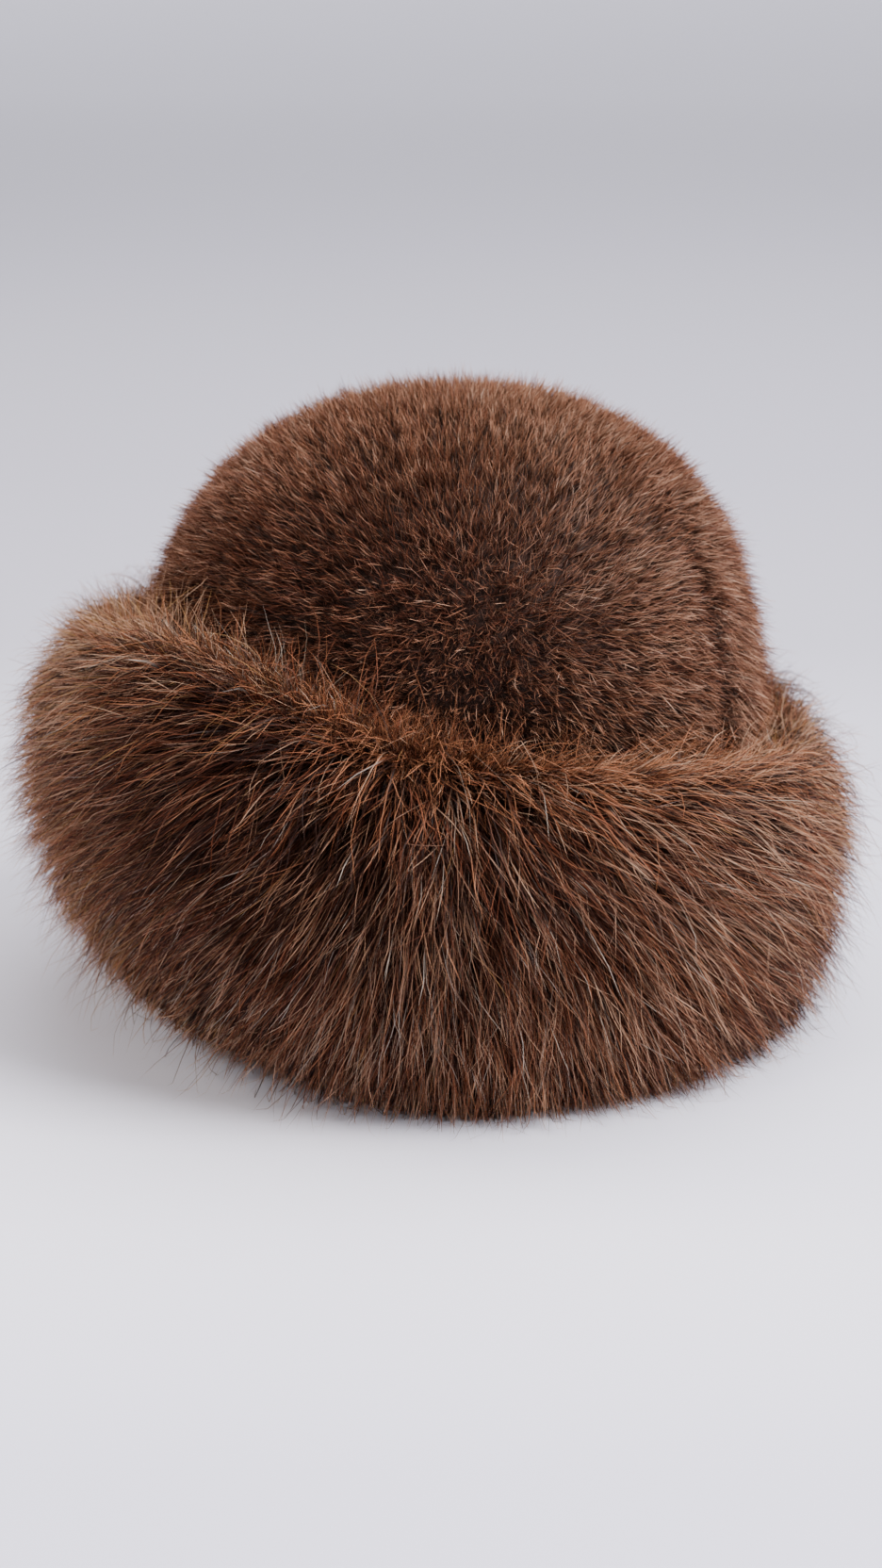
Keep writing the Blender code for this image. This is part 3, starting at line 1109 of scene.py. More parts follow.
@dataclass
class Fur:
    """Hair on a part of the hat: placed in clumps and wisps, grown, cut to the form and joined in pieces.

    Args:
        form: The hat's outer form.
        rng: The source of chance.
        node: The solid that it replaces.
        slot: Its slot.
        clumps: The clumps into which it falls.
        coats: Its coats.
        tones: Where it is lighter or darker than elsewhere: mostly painted light and shade, partly its own
            tone.
        unruly: Where it is less well combed than elsewhere.
        sag: How much it hangs towards its tips.
        follows: Whether its hairs bend with the form.
        front: How much thinner it grows at the sides than in front, as a share.
        roughness: How much the cut varies from hair to hair, in metres.
        reach: The most that it may stand out of the form, in metres.
        lift_spread: How much the wisps' lifts vary, as a share of how much their turns do.
        length_spread: How much their lengths vary, as a share.
        clump_bend: How late along it a wisp bends to its clump, as a power.
        hair_bend: How late along it a hair bends to its wisp, as a power.
        gathers: The least and most that a hair is gathered, as shares of the coat's own.
        hair_wave: How far hairs wave for themselves, as a share of how far their wisps do.
        shortest: The shortest that a hair is cut, as a share of its length.
        roll: The greatest angle that a ribbon turns about its run, in radians.
        widths: The least and most width of a hair, as shares of the coat's.
    """

    form: HatForm
    rng: np.random.Generator
    node: str = ""
    slot: str = ""
    clumps: Clumps = Clumps(1, 0.0, 0.0, 0.0, 0.0, 0.0)
    coats: tuple[Coat, ...] = ()
    tones: tuple[Patch, ...] = ()
    unruly: tuple[Patch, ...] = ()
    sag: float = 0.0
    follows: bool = False
    front: float = 0.12
    roughness: float = 0.0022
    reach: float = 0.0176
    lift_spread: float = 0.6
    length_spread: float = 0.06
    clump_bend: float = 1.5
    hair_bend: float = 0.8
    gathers: tuple[float, float] = (0.6, 1.2)
    hair_wave: float = 0.45
    shortest: float = 0.25
    roll: float = 1.3
    widths: tuple[float, float] = (0.7, 1.25)

    def surface(self, azimuth: Array, along: Array) -> Array:
        """Points of the outer form."""
        raise NotImplementedError

    def lay(self, azimuth: Array, along: Array) -> Lay:
        """The lay of the skin."""
        raise NotImplementedError

    def weight(self, azimuth: Array, along: Array) -> Array:
        """How thickly the hair grows."""
        return 1 - self.front * (1 - np.cos(np.radians(azimuth)))

    def flow(self, lay: Lay, places: Seeds) -> Array:
        """The way that the hair is combed."""
        raise NotImplementedError

    def stand(self, places: Seeds) -> tuple[Array, Array, Array]:
        """The hair's lift at the root and the tip, in degrees, and its length."""
        raise NotImplementedError

    def unrest(self, places: Seeds) -> Array:
        """How much more unruly the hair is than elsewhere: 0 where it is as combed."""
        return total(self.unruly, places.azimuth, places.along)

    def shade(self, places: Seeds) -> Array:
        """How much lighter the hair is than elsewhere, as a step in tone: painted light and shade, and some
        of its own tone.
        """
        return total(self.tones, places.azimuth, places.along)

    def strain(self, tone: Array, places: Seeds, wisp_lot: Array, hair_lot: Array) -> Array:
        """The tones, with the hairs of other strains given theirs by the lots that wisps and hairs draw."""
        return tone

    def beyond(self, points: Array) -> Array:
        """How far points lie outside the form, and below zero inside it."""
        return np.full(points.shape[:-1], -1.0)

    def proud(self, places: Seeds) -> Array:
        """How far the hair stands out of the form."""
        return np.zeros_like(places.azimuth)

    def settle(self, points: Array) -> Array:
        """The points, moved where they would lie in something."""
        return points

    def strands(self, coat: Coat, places: Seeds, own: Array, unruly: Array) -> tuple[Array, Array]:
        """Grows a strand of a coat at each place, which bends with the form where the fur follows it.

        Args:
            coat: The coat.
            places: Where the strands grow.
            own: Each strand's own steps in turn, lift and length, as rows.
            unruly: How many times over each has those steps.

        Returns:
            The points of each strand, from root to tip, and its length.
        """
        root_lift, tip_lift, length = self.stand(places)
        length = coat.length * length * (1 + own[2])
        step = length / (coat.stations - 1)
        turn = np.radians(own[0] * unruly)[:, None]
        lay = self.lay(places.azimuth, places.along)
        points = [lay.points]
        for i in range(coat.stations - 1):
            share = (i + 0.5) / (coat.stations - 1)
            flow = self.flow(lay, places)
            flow = flow * np.cos(turn) + across(lay.out, flow) * np.sin(turn)
            lift = np.radians(root_lift + (tip_lift - root_lift) * share + coat.lift + own[1] * unruly)
            forth, up = (step * np.cos(lift))[:, None], (step * np.sin(lift))[:, None]
            way = flow * forth + lay.out * up
            way[:, 2] -= self.sag * share * step
            points.append(points[-1] + unit(way) * step[:, None])
            if self.follows:
                onward = [np.sum(flow * forth * side, axis=1) for side in (lay.around, lay.down)] * lay.rate
                places = Seeds(places.azimuth + onward[0], np.clip(places.along + onward[1], 0, 1))
                lay = self.lay(places.azimuth, places.along)
        return np.stack(points, axis=1), length

    def waved(self, paths: Array, run: Array, waves: float, size: Array) -> Array:
        """Sets waves to one side in strands, which grow from the root to the tip.

        Args:
            paths: The strands' points.
            run: The way that each strand runs.
            waves: How many waves each has.
            size: How large each one's are.

        Returns:
            The strands' points.
        """
        share = np.linspace(0, 1, paths.shape[1])[None, :, None]
        side = across(run, self.rng.normal(0, 1, (len(run), 3)))
        phase = self.rng.uniform(0, 2 * math.pi, (len(run), 1, 1))
        wave = np.sin(2 * math.pi * waves * share + phase) - np.sin(phase)
        return paths + side[:, None] * wave * share * size[:, None, None]

    def trimmed(self, coat: Coat, points: Array, proud: Array) -> Array:
        """Cuts hairs where they stand out of the form too far, and some of them shorter still.

        Args:
            coat: The hairs' coat.
            points: Their points.
            proud: How far the fur stands out of the form at each.

        Returns:
            The points of the cut hairs.
        """
        count, last = len(points), coat.stations - 1
        allowed = proud + coat.proud * self.rng.random(count) ** 2
        allowed = np.minimum(allowed + self.rng.normal(0, self.roughness, count), self.reach)
        past = self.beyond(points) - allowed[:, None]
        over = past > 0
        over[:, 0] = False
        first = np.where(over.any(axis=1), over.argmax(axis=1), last)
        rows = np.arange(count)
        inside, outside = past[rows, first - 1], past[rows, first]
        crossing = np.clip(-inside / np.maximum(outside - inside, NO_CROSSING), 0, 1)
        cut = np.where(over.any(axis=1), first - 1 + crossing, last)
        cut = np.maximum(cut * (1 - coat.ragged * self.rng.random(count) ** 2), self.shortest * last)
        return self.settle(cut_back(points, cut))

    def grow_coat(self, coat: Coat, clump_places: Seeds, draws: Array) -> Hairs:
        """Grows one coat.

        Args:
            coat: The coat.
            clump_places: Where the fur's clumps are.
            draws: The clumps' own steps in turn, lift, length and tone, a row for each.

        Returns:
            The hairs.
        """
        rng, clumps = self.rng, self.clumps
        places = scatter(self.surface, coat.wisps, coat.span, coat.azimuths, self.weight, rng)
        lay = self.lay(places.azimuth, places.along)
        middles, _ = self.strands(coat, clump_places, draws[:3], np.ones(clumps.count))
        clump = nearest(lay.points, middles[:, 0])
        share = np.linspace(0, 1, coat.stations)[None, :, None]
        unruly = 1 + self.unrest(places)
        spreads = np.array([[coat.turn], [self.lift_spread * coat.turn], [self.length_spread]])
        own = rng.normal(0, 1, (3, coat.wisps)) * spreads
        paths, length = self.strands(coat, places, draws[:3, clump] + own, unruly)
        paths += (middles[clump] - paths) * (clumps.gather * share**self.clump_bend)
        run = paths[:, -1] - paths[:, 0]
        paths = self.waved(paths, run, coat.waves, coat.wave * unruly)

        owners = np.repeat(np.arange(coat.wisps), coat.hairs)
        count = len(owners)
        shift = rng.normal(0, coat.spread, (2, count, 1))
        offset = lay.down[owners] * shift[0] + lay.around[owners] * shift[1]
        gather = coat.gather * rng.uniform(*self.gathers, (count, 1, 1)) * share**self.hair_bend
        stray = rng.normal(0, coat.stray, (count, 3)) * (length * unruly)[owners, None]
        points = paths[owners] + offset[:, None] * (1 - gather) + stray[:, None] * share**2
        points = self.waved(points, run[owners], coat.waves, self.hair_wave * coat.wave * unruly[owners])
        points = self.trimmed(coat, points, self.proud(places)[owners])

        roll = rng.uniform(-self.roll, self.roll, (count, 1))
        out = lay.out[owners]
        facing = out * np.cos(roll) + across(run[owners], out) * np.sin(roll)
        tone = coat.tone + draws[3, clump] + self.shade(places) + rng.normal(0, coat.wisp_tone, coat.wisps)
        tone = tone[owners] + rng.normal(0, coat.hair_tone, count)
        hair_places = Seeds(places.azimuth[owners], places.along[owners])
        tone = self.strain(tone, hair_places, rng.random(coat.wisps)[owners], rng.random(count))
        return Hairs(points, facing, coat.width * rng.uniform(*self.widths, count), np.clip(tone, 0, 1))

    def grow_all(self, finish: FurFinish) -> None:
        """Grows all the coats, and dresses them.

        Args:
            finish: Their finish.
        """
        clumps, rng = self.clumps, self.rng
        span = (min(coat.span[0] for coat in self.coats), max(coat.span[1] for coat in self.coats))
        places = scatter(self.surface, clumps.count, span, (-180, 180), self.weight, rng)
        sizes = np.array([[clumps.turn], [clumps.lift], [clumps.length], [clumps.tone]])
        draws = rng.normal(0, 1, (4, clumps.count)) * sizes
        material = finish.material()
        for coat in self.coats:
            hairs = self.grow_coat(coat, places, draws)
            ends = ("",) if coat.pieces == 1 else tuple(f"_{i + 1}" for i in range(coat.pieces))
            turn = azimuth_of(hairs.points[:, 0] - [*self.form.middle, 0.0]) / 360.0
            sector = (turn * len(ends)).round() % len(ends)
            for i, end in enumerate(ends):
                piece = ribbons(coat.name + end, hairs.part(sector == i), coat.painted_glow)
                dress(piece, material, self.slot)
                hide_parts(self.node)


@dataclass
class Crown(Fur):
    """The domed crown: its pelt, and the short pile that grows away from a whorl in front.

    Args:
        tones: Where the pile is lighter or darker, by azimuth and height: mostly painted light and shade,
            partly its own paler tone at the right.
        whorl_shade: Painted shade where the pile parts round the whorl, by the distance from it.
        smooth_shade: How much lighter or darker the smoothed pile is: painted shade low at the right.
        smooth: Where the pile is smoothed down, by azimuth and height.
        smooth_lifts: How much that changes its lifts at the root and the tip.
        smooth_length: How much longer the smoothed pile is.
        flat: Where the smoothed pile lies flat, by degrees past the seam.
        flat_lifts: How much that changes its lifts.
        flat_length: How much longer the flat pile is.
        wall: How thick the pelt is.
        pile_depth: How deep it lies under the outer form where the pile shows.
        hidden_depth: How deep it lies behind the cuff.
        deepens: Between which heights over the cuff's rim its depth changes.
        pile_start: How far below the cuff's rim the pile starts.
        whorl: The whorl's azimuth and height.
        unruly_whorl: How unruly the pile is by the distance from the whorl.
        falls_away: At which distances from the whorl the pile begins to lie straight down, and does.
        falls_down: How far a direction has to point down for that, from not at all to fully.
        seam_azimuth: Where the seam lies.
        seam_end: At which levels it begins to fade out, and has.
        seam_comb: How far the pile is combed straight down past the seam, by degrees past it.
        seam_parting: How far the seam parts the pile.
        seam_cut: How much shorter the pile is along it.
        seam_shade: How much darker it is: painted shade in the seam's groove.
        seam_widths: How wide the parting, the cut and the painted shade of the seam are, in degrees.
        lifts: The pile's lifts at the root and the tip, in degrees.
        length: The pile's length.
        pelt_grid: How many segments and rings the pelt is shaped from.
        fold: How large the sphere's inner half is while it is shaped.
        level_margin: How far from its lowest and highest level the form's lay is still taken.
    """

    node: str = "crown"
    slot: str = "short_fur"
    # Mostly painted light and shade, lighter or darker where the lamps light the pile more or less; the rise
    # to the right is partly the pile's own paler tone
    tones: tuple[Patch, ...] = (
        Patch(0.27, Slope(4, 40)),
        Patch(-0.13, Hill(-36, 28), Slope(0.180, 0.150)),
        Patch(-0.13, Hill(50, 24), Slope(0.155, 0.175)),
        Patch(-0.06, Hill(55, 12)),
        Patch(0.05, Hill(20, 14), Hill(0.165, 0.015)),
        Patch(-0.24, Slope(62, 86)),
        Patch(0.05, Slope(-45, -75)),
    )
    # Painted shade where the pile parts round the whorl
    whorl_shade: tuple[Patch, ...] = (
        Patch(-0.05, along=Hill(0, 0.05)),
        Patch(-0.10, along=Hill(0, 0.012)),
    )
    # Painted shade on the smoothed pile low at the right
    smooth_shade: tuple[Patch, ...] = (
        Patch(-0.08),
        Patch(-0.06, Hill(44, 22)),
    )
    smooth: Patch = Patch(1.0, Slope(12, 36), Slope(0.168, 0.138))
    smooth_lifts: tuple[float, float] = (-22.0, -20.0)
    smooth_length: float = 0.14
    flat: tuple[Slope, Slope] = (Slope(0, 6), Slope(62, 37))
    flat_lifts: tuple[float, float] = (-16.0, -15.0)
    flat_length: float = 0.28
    wall: float = 0.012
    pile_depth: float = 0.0066
    hidden_depth: float = 0.0010
    deepens: Slope = Slope(-0.024, -0.014)
    pile_start: float = 0.010
    whorl: tuple[float, float] = (8.5, 0.150)
    unruly_whorl: Hill = Hill(0.0, 0.022)
    falls_away: Slope = Slope(0.05, 0.16)
    falls_down: Slope = Slope(-7 / 15, 0.2)
    seam_azimuth: float = 57.0
    seam_end: Slope = Slope(9.0, 6.0)
    seam_comb: tuple[float, Slope] = (0.8, Slope(0, 6))
    seam_parting: float = 1.3
    seam_cut: float = 0.6
    # Painted shade in the seam's groove
    seam_shade: float = 0.36
    seam_widths: tuple[float, float, float] = (3.5, 1.8, 2.0)
    lifts: tuple[float, float] = (78.0, 60.0)
    length: float = 0.0088
    pelt_grid: tuple[int, int] = (72, 60)
    fold: float = 0.5
    level_margin: float = 0.002
    clumps: Clumps = Clumps(3000, 0.11, 14.0, 7.0, 0.05, 0.04)
    coats: tuple[Coat, ...] = (
        Coat("crown_pile", 50000, 2, 0.00034, 0.0008, 0.43, 0.07, 0.15, 3, turn=20.0, stray=0.18, gather=0.18,
             wave=0.0009, waves=0.8, ragged=0.45, span=(3.0, 13.98), pieces=2),
        Coat("crown_long_hairs", 2600, 1, 0.00030, 0.0004, 0.56, 0.08, 0.06, 4, length=1.2, turn=18.0,
             stray=0.1, wave=0.0009, waves=0.8, ragged=0.4, span=(3.0, 13.98)),
    )

    def pelt(self) -> bpy.types.Object:
        """The pelt: a domed shell, shaped from a sphere whose lower half is folded up into the upper one."""
        deselect()
        segments, rings = self.pelt_grid
        bpy.ops.mesh.primitive_uv_sphere_add(segments=segments, ring_count=rings, radius=1.0)
        shell = bpy.context.object
        shell.name = "crown_pelt"
        mesh = shell.data
        ring = 2 / rings
        bpy.ops.object.mode_set(mode="EDIT")
        bpy.ops.mesh.select_mode(type="VERT")
        bpy.ops.mesh.select_all(action="DESELECT")
        bpy.ops.object.mode_set(mode="OBJECT")
        for vertex in mesh.vertices:
            vertex.select = vertex.co.z < -ring / 2
        bpy.ops.object.mode_set(mode="EDIT")
        bpy.ops.transform.resize(value=(self.fold, self.fold, -self.fold), center_override=(0, 0, 0))
        bpy.ops.mesh.select_all(action="SELECT")
        bpy.ops.mesh.normals_make_consistent(inside=False)
        bpy.ops.object.mode_set(mode="OBJECT")
        points = points_of(mesh)
        size = np.linalg.norm(points, axis=1)
        inner = size < (1 + self.fold) / 2
        azimuth = azimuth_of(points)
        rise = np.arcsin(np.clip(points[:, 2] / size, 0, 1)) / (math.pi / 2)
        # The inner wall's lowest ring is level with the hem.
        rise = np.where(inner, (rise - ring) / (1 - ring), rise)
        top = self.form.top_level
        level = np.clip(top * rise, self.level_margin, top - self.level_margin)
        lay = self.form.lay(self.form.crown, azimuth, level, falls=False)
        depth = np.where(inner, self.wall, self.depth(azimuth, level))
        points = lay.points - lay.out * depth[:, None]
        points[rise < ring / 2, 2] = self.form.crown_rings[0][0]
        move_points(mesh, points)
        mesh.shade_smooth()
        return shell

    def surface(self, azimuth: Array, along: Array) -> Array:
        """Points of the crown's outer form."""
        return self.form.crown(azimuth, along)

    def over_rim(self, azimuth: Array, along: Array) -> Array:
        """How high places of the crown lie over the cuff's rim."""
        rim = self.form.section(azimuth)[..., 0] - self.form.rim_dip
        return self.surface(azimuth, along)[..., 2] - rim

    def depth(self, azimuth: Array, along: Array) -> Array:
        """How deep the pelt lies: the pile's depth above the cuff, and little behind it."""
        share = self.deepens.at(self.over_rim(azimuth, along))
        return self.hidden_depth + (self.pile_depth - self.hidden_depth) * share

    def lay(self, azimuth: Array, along: Array) -> Lay:
        """The lay of the pelt where the pile grows."""
        lay = self.form.lay(self.form.crown, azimuth, along, falls=False)
        return replace(lay, points=lay.points - lay.out * self.pile_depth)

    def weight(self, azimuth: Array, along: Array) -> Array:
        """Where the pile grows: from just under the cuff's rim to the top, and thickest in front."""
        return (self.over_rim(azimuth, along) > -self.pile_start) * super().weight(azimuth, along)

    def past_seam(self, azimuth: Array) -> Array:
        """How many degrees each place lies past the seam at the right."""
        return signed(azimuth - self.seam_azimuth)

    def seam(self, places: Seeds, width: float) -> Array:
        """How near the seam each place is, which fades out towards the top."""
        return Hill(0, width).at(self.past_seam(places.azimuth)) * self.seam_end.at(places.along)

    def from_whorl(self, points: Array) -> Array:
        """Vectors from the whorl."""
        azimuth, height = (np.array([value]) for value in self.whorl)
        return points - self.form.crown(azimuth, self.form.crown_level(height))[0]

    def whorl_distance(self, places: Seeds) -> Array:
        """How far each place lies from the whorl."""
        return np.linalg.norm(self.from_whorl(self.surface(places.azimuth, places.along)), axis=1)

    def flow(self, lay: Lay, places: Seeds) -> Array:
        """The way that the pile lies: away from the whorl and from the seam, and straight down behind.

        Args:
            lay: The lay of the pelt where the pile is now.
            places: Where that is.

        Returns:
            Unit vectors.
        """
        away = self.from_whorl(lay.points)
        away -= lay.out * np.sum(away * lay.out, axis=1, keepdims=True)
        distance = np.linalg.norm(away, axis=1, keepdims=True)
        away = unit(away)
        falling = np.sum(away * lay.down, axis=1, keepdims=True)
        blend = self.falls_away.at(distance) * self.falls_down.at(falling)
        past = self.past_seam(places.azimuth)
        most, slope = self.seam_comb
        blend = np.maximum(blend, most * slope.at(past)[:, None])
        parted = self.seam_parting * self.seam(places, self.seam_widths[0]) * np.sign(past)
        return unit(away * (1 - blend) + lay.down * blend + lay.around * parted[:, None])

    def stand(self, places: Seeds) -> tuple[Array, Array, Array]:
        """The pile's lifts, lower at the right, and its length, which is cut short along the seam.

        Args:
            places: Where it grows.

        Returns:
            The lifts at the root and the tip, in degrees, and the lengths.
        """
        smooth = self.smoothed(places)
        past = self.past_seam(places.azimuth)
        flat = self.flat[0].at(past) * self.flat[1].at(past) * smooth
        length = self.length * (1 - self.seam_cut * self.seam(places, self.seam_widths[1]))
        length = length * (1 + self.smooth_length * smooth + self.flat_length * flat)
        changes = zip(self.lifts, self.smooth_lifts, self.flat_lifts)
        root_lift, tip_lift = (lift + low * smooth + flatter * flat for lift, low, flatter in changes)
        return root_lift, tip_lift, length

    def smoothed(self, places: Seeds) -> Array:
        """How far the pile is smoothed down, which it is low at the right."""
        height = self.surface(places.azimuth, places.along)[..., 2]
        return self.smooth.at(places.azimuth, height)

    def unrest(self, places: Seeds) -> Array:
        """The pile is unruly round the whorl."""
        return self.unruly_whorl.at(self.whorl_distance(places))

    def shade(self, places: Seeds) -> Array:
        """Painted light and shade on the pile: lighter at the right and at the top, darker round the whorl
        and in the seam's groove; the right is partly its own paler tone.

        Args:
            places: Where it grows.

        Returns:
            The steps in tone.
        """
        height = self.surface(places.azimuth, places.along)[..., 2]
        return (
            total(self.tones, places.azimuth, height)
            + total(self.whorl_shade, places.azimuth, self.whorl_distance(places))
            + total(self.smooth_shade, places.azimuth, height) * self.smoothed(places)
            - self.seam_shade * self.seam(places, self.seam_widths[2])
        )

    def build(self, pile: FurFinish, skin: SkinFinish) -> None:
        """Builds and dresses the crown.

        Args:
            pile: The pile's finish.
            skin: The pelt's.
        """
        pelt = self.pelt()
        dress(pelt, skin.material(), self.slot)
        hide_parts(self.node)
        self.grow_all(pile)


@dataclass
class Cuff(Fur):
    """The deep cuff of long fur, turned up round the crown.

    Args:
        table: Place along the section, the skin's depth, the hair's lift at the root and the tip in degrees,
            how far it stands out of the form, and how far it is combed sideways.
        stands: Where the fur stands further out of the form, or less far.
        thick: Where it is thicker.
        swings: How much more it is combed sideways.
        ripples: How far it is combed to one side or the other.
        brown: The highest tone of the fur's own browns.
        painted_gold_glow: Gold wisps at the left and at the back right, a painted glow of the lit edges, a
            little darker at the back as painted shade.
        rust: The rust wisps, the fur's own colour; their greater share and darker tone at the back are
            painted shade, and their lighter tone on the crest is painted light.
        silver: The silver hairs.
        reserve: How much longer the hair grows than it has to.
        longest: The longest that it grows.
        comb_angle: How far from the front it is fully combed sideways, in degrees.
        ring: The radius and the thickness of the ring that the roll is shaped from.
        roll_grid: How many segments it has round the hat and round the roll.
        back_start: How far round the roll its back ends, in degrees.
        back_span: How much of the way round the roll its back is.
    """

    node: str = "fur_cuff"
    slot: str = "long_fur"
    # Place, depth, lift at the root, lift at the tip, how far it stands out, how far it is combed
    table: tuple[tuple[float, ...], ...] = (
        (0.00, 0.003, 44.0, 20.0, 0.0030, 2.10),
        (0.08, 0.004, 40.0, 18.0, 0.0050, 2.00),
        (0.16, 0.006, 38.0, 17.0, 0.0065, 1.90),
        (0.30, 0.011, 42.0, 20.0, 0.0080, 1.50),
        (0.45, 0.017, 48.0, 24.0, 0.0095, 1.05),
        (0.62, 0.021, 54.0, 28.0, 0.0085, 0.70),
        (0.75, 0.020, 54.0, 28.0, 0.0050, 0.55),
        (0.88, 0.013, 46.0, 26.0, 0.0030, 0.45),
        (1.00, 0.007, 36.0, 20.0, 0.0020, 0.40),
    )
    # Mostly painted light and shade: darker in front, below the crest, in a band under it at the left, above
    # the foot at the left, low at the right and at the back; lighter on the crest, at the sides and near the
    # foot at the left
    tones: tuple[Patch, ...] = (
        Patch(0.04, Slope(21, 61)),
        Patch(0.04, Slope(-29, -69)),
        Patch(-0.56, Hill(-14, 30), Hill(0.42, 0.19)),
        Patch(-0.40, Hill(-22, 20), Hill(0.20, 0.11)),
        Patch(-0.34, Hill(-48, 26), Hill(0.64, 0.20)),
        Patch(0.04, Hill(18, 22), Hill(0.54, 0.14)),
        Patch(0.10, Hill(-40, 18), Hill(0.42, 0.14)),
        Patch(0.16, Hill(-60, 40), Hill(0.14, 0.12)),
        Patch(0.20, Hill(-60, 30), Hill(0.75, 0.22)),
        Patch(-0.16, Hill(60, 28), Hill(0.78, 0.28)),
        Patch(0.05, Hill(30, 16), Hill(0.45, 0.15)),
        Patch(-0.19, along=Slope(0.16, 0.32)),
        Patch(-0.05, Hill(34, 22), Hill(0.12, 0.12)),
        Patch(0.11, Hill(0, 38), Hill(0.09, 0.12)),
        Patch(-0.50, Hill(128, 42)),
        Patch(-0.12, Hill(-105, 30), Hill(0.05, 0.12)),
        Patch(-0.05, along=Hill(0.80, 0.2)),
    )
    unruly: tuple[Patch, ...] = (Patch(0.9, Hill(-12, 24), Hill(0.12, 0.14)),)
    stands: tuple[Patch, ...] = (
        Patch(-0.0170, Hill(-52, 34), Slope(0.45, 0.70)),
        Patch(0.0110, Hill(134, 28), Slope(0.70, 0.45)),
        Patch(-0.0055, Hill(85, 36), Slope(0.70, 0.45)),
        Patch(0.0070, Hill(-78, 14), Hill(0.66, 0.15)),
        Patch(-0.0028, Hill(-95, 25), Hill(0.18, 0.14)),
        Patch(0.0015, Hill(-95, 35)),
    )
    thick: tuple[Patch, ...] = (
        Patch(0.7, along=Hill(0.15, 0.12)),
        Patch(1.5, Hill(2, 28), Hill(0.20, 0.14)),
    )
    swings: tuple[Patch, ...] = (
        Patch(1.3, Hill(-52, 34), Slope(0.3, 0.6)),
        Patch(0.7, Hill(52, 30), Slope(0.3, 0.6)),
    )
    ripples: tuple[Ripple, ...] = (
        Ripple(3, 0.7, 0.12, 0.4),
        Ripple(7, 1.3, 0.10, 2.1),
        Ripple(13, 2.1, 0.08, 4.0),
    )
    brown: float = 0.62
    # Gold wisps at the left and the back right: a painted glow where light catches the fur's edges, a little
    # darker at the back as painted shade
    painted_gold_glow: Strain = Strain(
        tone=0.69,
        shares=(Patch(0.30, Hill(-95, 50)), Patch(0.42, Hill(125, 45))),
        follow=0.35,
        steps=(-0.04, 0.03),
        span=(0.642, 0.72),
        tones=(Patch(-0.025, Hill(132, 42)),),
    )
    # The fur's own rust wisps; their share and darker tone at the back are painted shade, their lighter tone
    # on the crest painted light
    rust: Strain = Strain(
        tone=0.825,
        shares=(
            Patch(0.04),
            Patch(0.88, Hill(-6, 30), Hill(0.09, 0.13)),
            Patch(0.18, Hill(-85, 45)),
            Patch(0.38, Hill(132, 42)),
            Patch(0.55, Hill(45, 28), Hill(0.10, 0.14)),
        ),
        follow=0.3,
        steps=(-0.05, 0.05),
        span=(0.752, 0.86),
        tones=(Patch(-0.06, Hill(132, 42)), Patch(0.02, Hill(-6, 30), Hill(0.09, 0.13))),
    )
    silver: Strain = Strain(
        tone=0.94,
        shares=(
            Patch(0.008),
            Patch(0.42, Hill(-6, 9), Hill(0.47, 0.16)),
            Patch(0.35, Hill(-30, 12), Hill(0.05, 0.07)),
            Patch(0.09, Hill(-48, 26), Hill(0.75, 0.22)),
            Patch(0.075, Hill(2, 40), Hill(0.56, 0.24)),
        ),
        follow=0.3,
        steps=(-0.04, 0.06),
        span=(0.90, 1.0),
    )
    reserve: float = 1.35
    longest: float = 0.042
    comb_angle: float = 26.0
    sag: float = 0.05
    follows: bool = True
    ring: tuple[float, float] = (0.11, 0.02)
    roll_grid: tuple[int, int] = (120, 40)
    back_start: float = 20.0
    back_span: float = 40.0
    clumps: Clumps = Clumps(1100, 0.14, 8.0, 5.0, 0.07, 0.030)
    coats: tuple[Coat, ...] = (
        Coat("cuff_underfur", 2600, 4, 0.00085, 0.0030, 0.10, 0.05, 0.05, 4, length=0.72, proud=-0.004,
             turn=9.0, gather=0.30, wave=0.0008),
        Coat("cuff_topcoat", 14600, 3, 0.00042, 0.0018, 0.50, 0.10, 0.40, 6, turn=12.0, stray=0.11,
             gather=0.38, proud=0.0060, wave=0.0018, waves=1.1, pieces=3),
        Coat("cuff_guard_hairs", 5000, 2, 0.00036, 0.0030, 0.70, 0.06, 0.14, 6, length=1.15, proud=0.0150,
             turn=20.0, stray=0.17, gather=0.2, wave=0.0026, waves=0.9, ragged=0.25),
        Coat("cuff_strays", 6000, 1, 0.00026, 0.0030, 0.60, 0.08, 0.08, 6, length=1.25, lift=14.0,
             proud=0.034, turn=16.0, stray=0.15, gather=0.1, wave=0.0028, waves=0.9, ragged=0.3, painted_glow=0.3),
        Coat("crest_whiskers", 1900, 2, 0.00026, 0.0030, 0.41, 0.08, 0.08, 6, length=1.3, lift=44.0,
             proud=0.024, turn=24.0, stray=0.18, gather=0.1, wave=0.0018, waves=0.9, ragged=0.5,
             span=(0.03, 0.26), azimuths=(-125.0, 2.0), painted_glow=0.1),
        Coat("rear_whiskers", 500, 2, 0.00026, 0.0030, 0.60, 0.08, 0.08, 6, length=1.3, lift=42.0,
             proud=0.018, turn=20.0, stray=0.16, gather=0.1, wave=0.0018, waves=0.9, ragged=0.4,
             span=(0.03, 0.30), azimuths=(84.0, 150.0), painted_glow=0.2),
        Coat("low_strays", 1300, 2, 0.00028, 0.0030, 0.62, 0.06, 0.06, 6, length=1.1, lift=28.0,
             proud=0.023, turn=14.0, stray=0.12, gather=0.5, wave=0.0016, waves=0.8, ragged=0.35,
             span=(0.50, 0.97), azimuths=(-120.0, 40.0), painted_glow=0.55),
    )

    def surface(self, azimuth: Array, along: Array) -> Array:
        """Points of the cuff's outer form."""
        return self.form.cuff(azimuth, along)

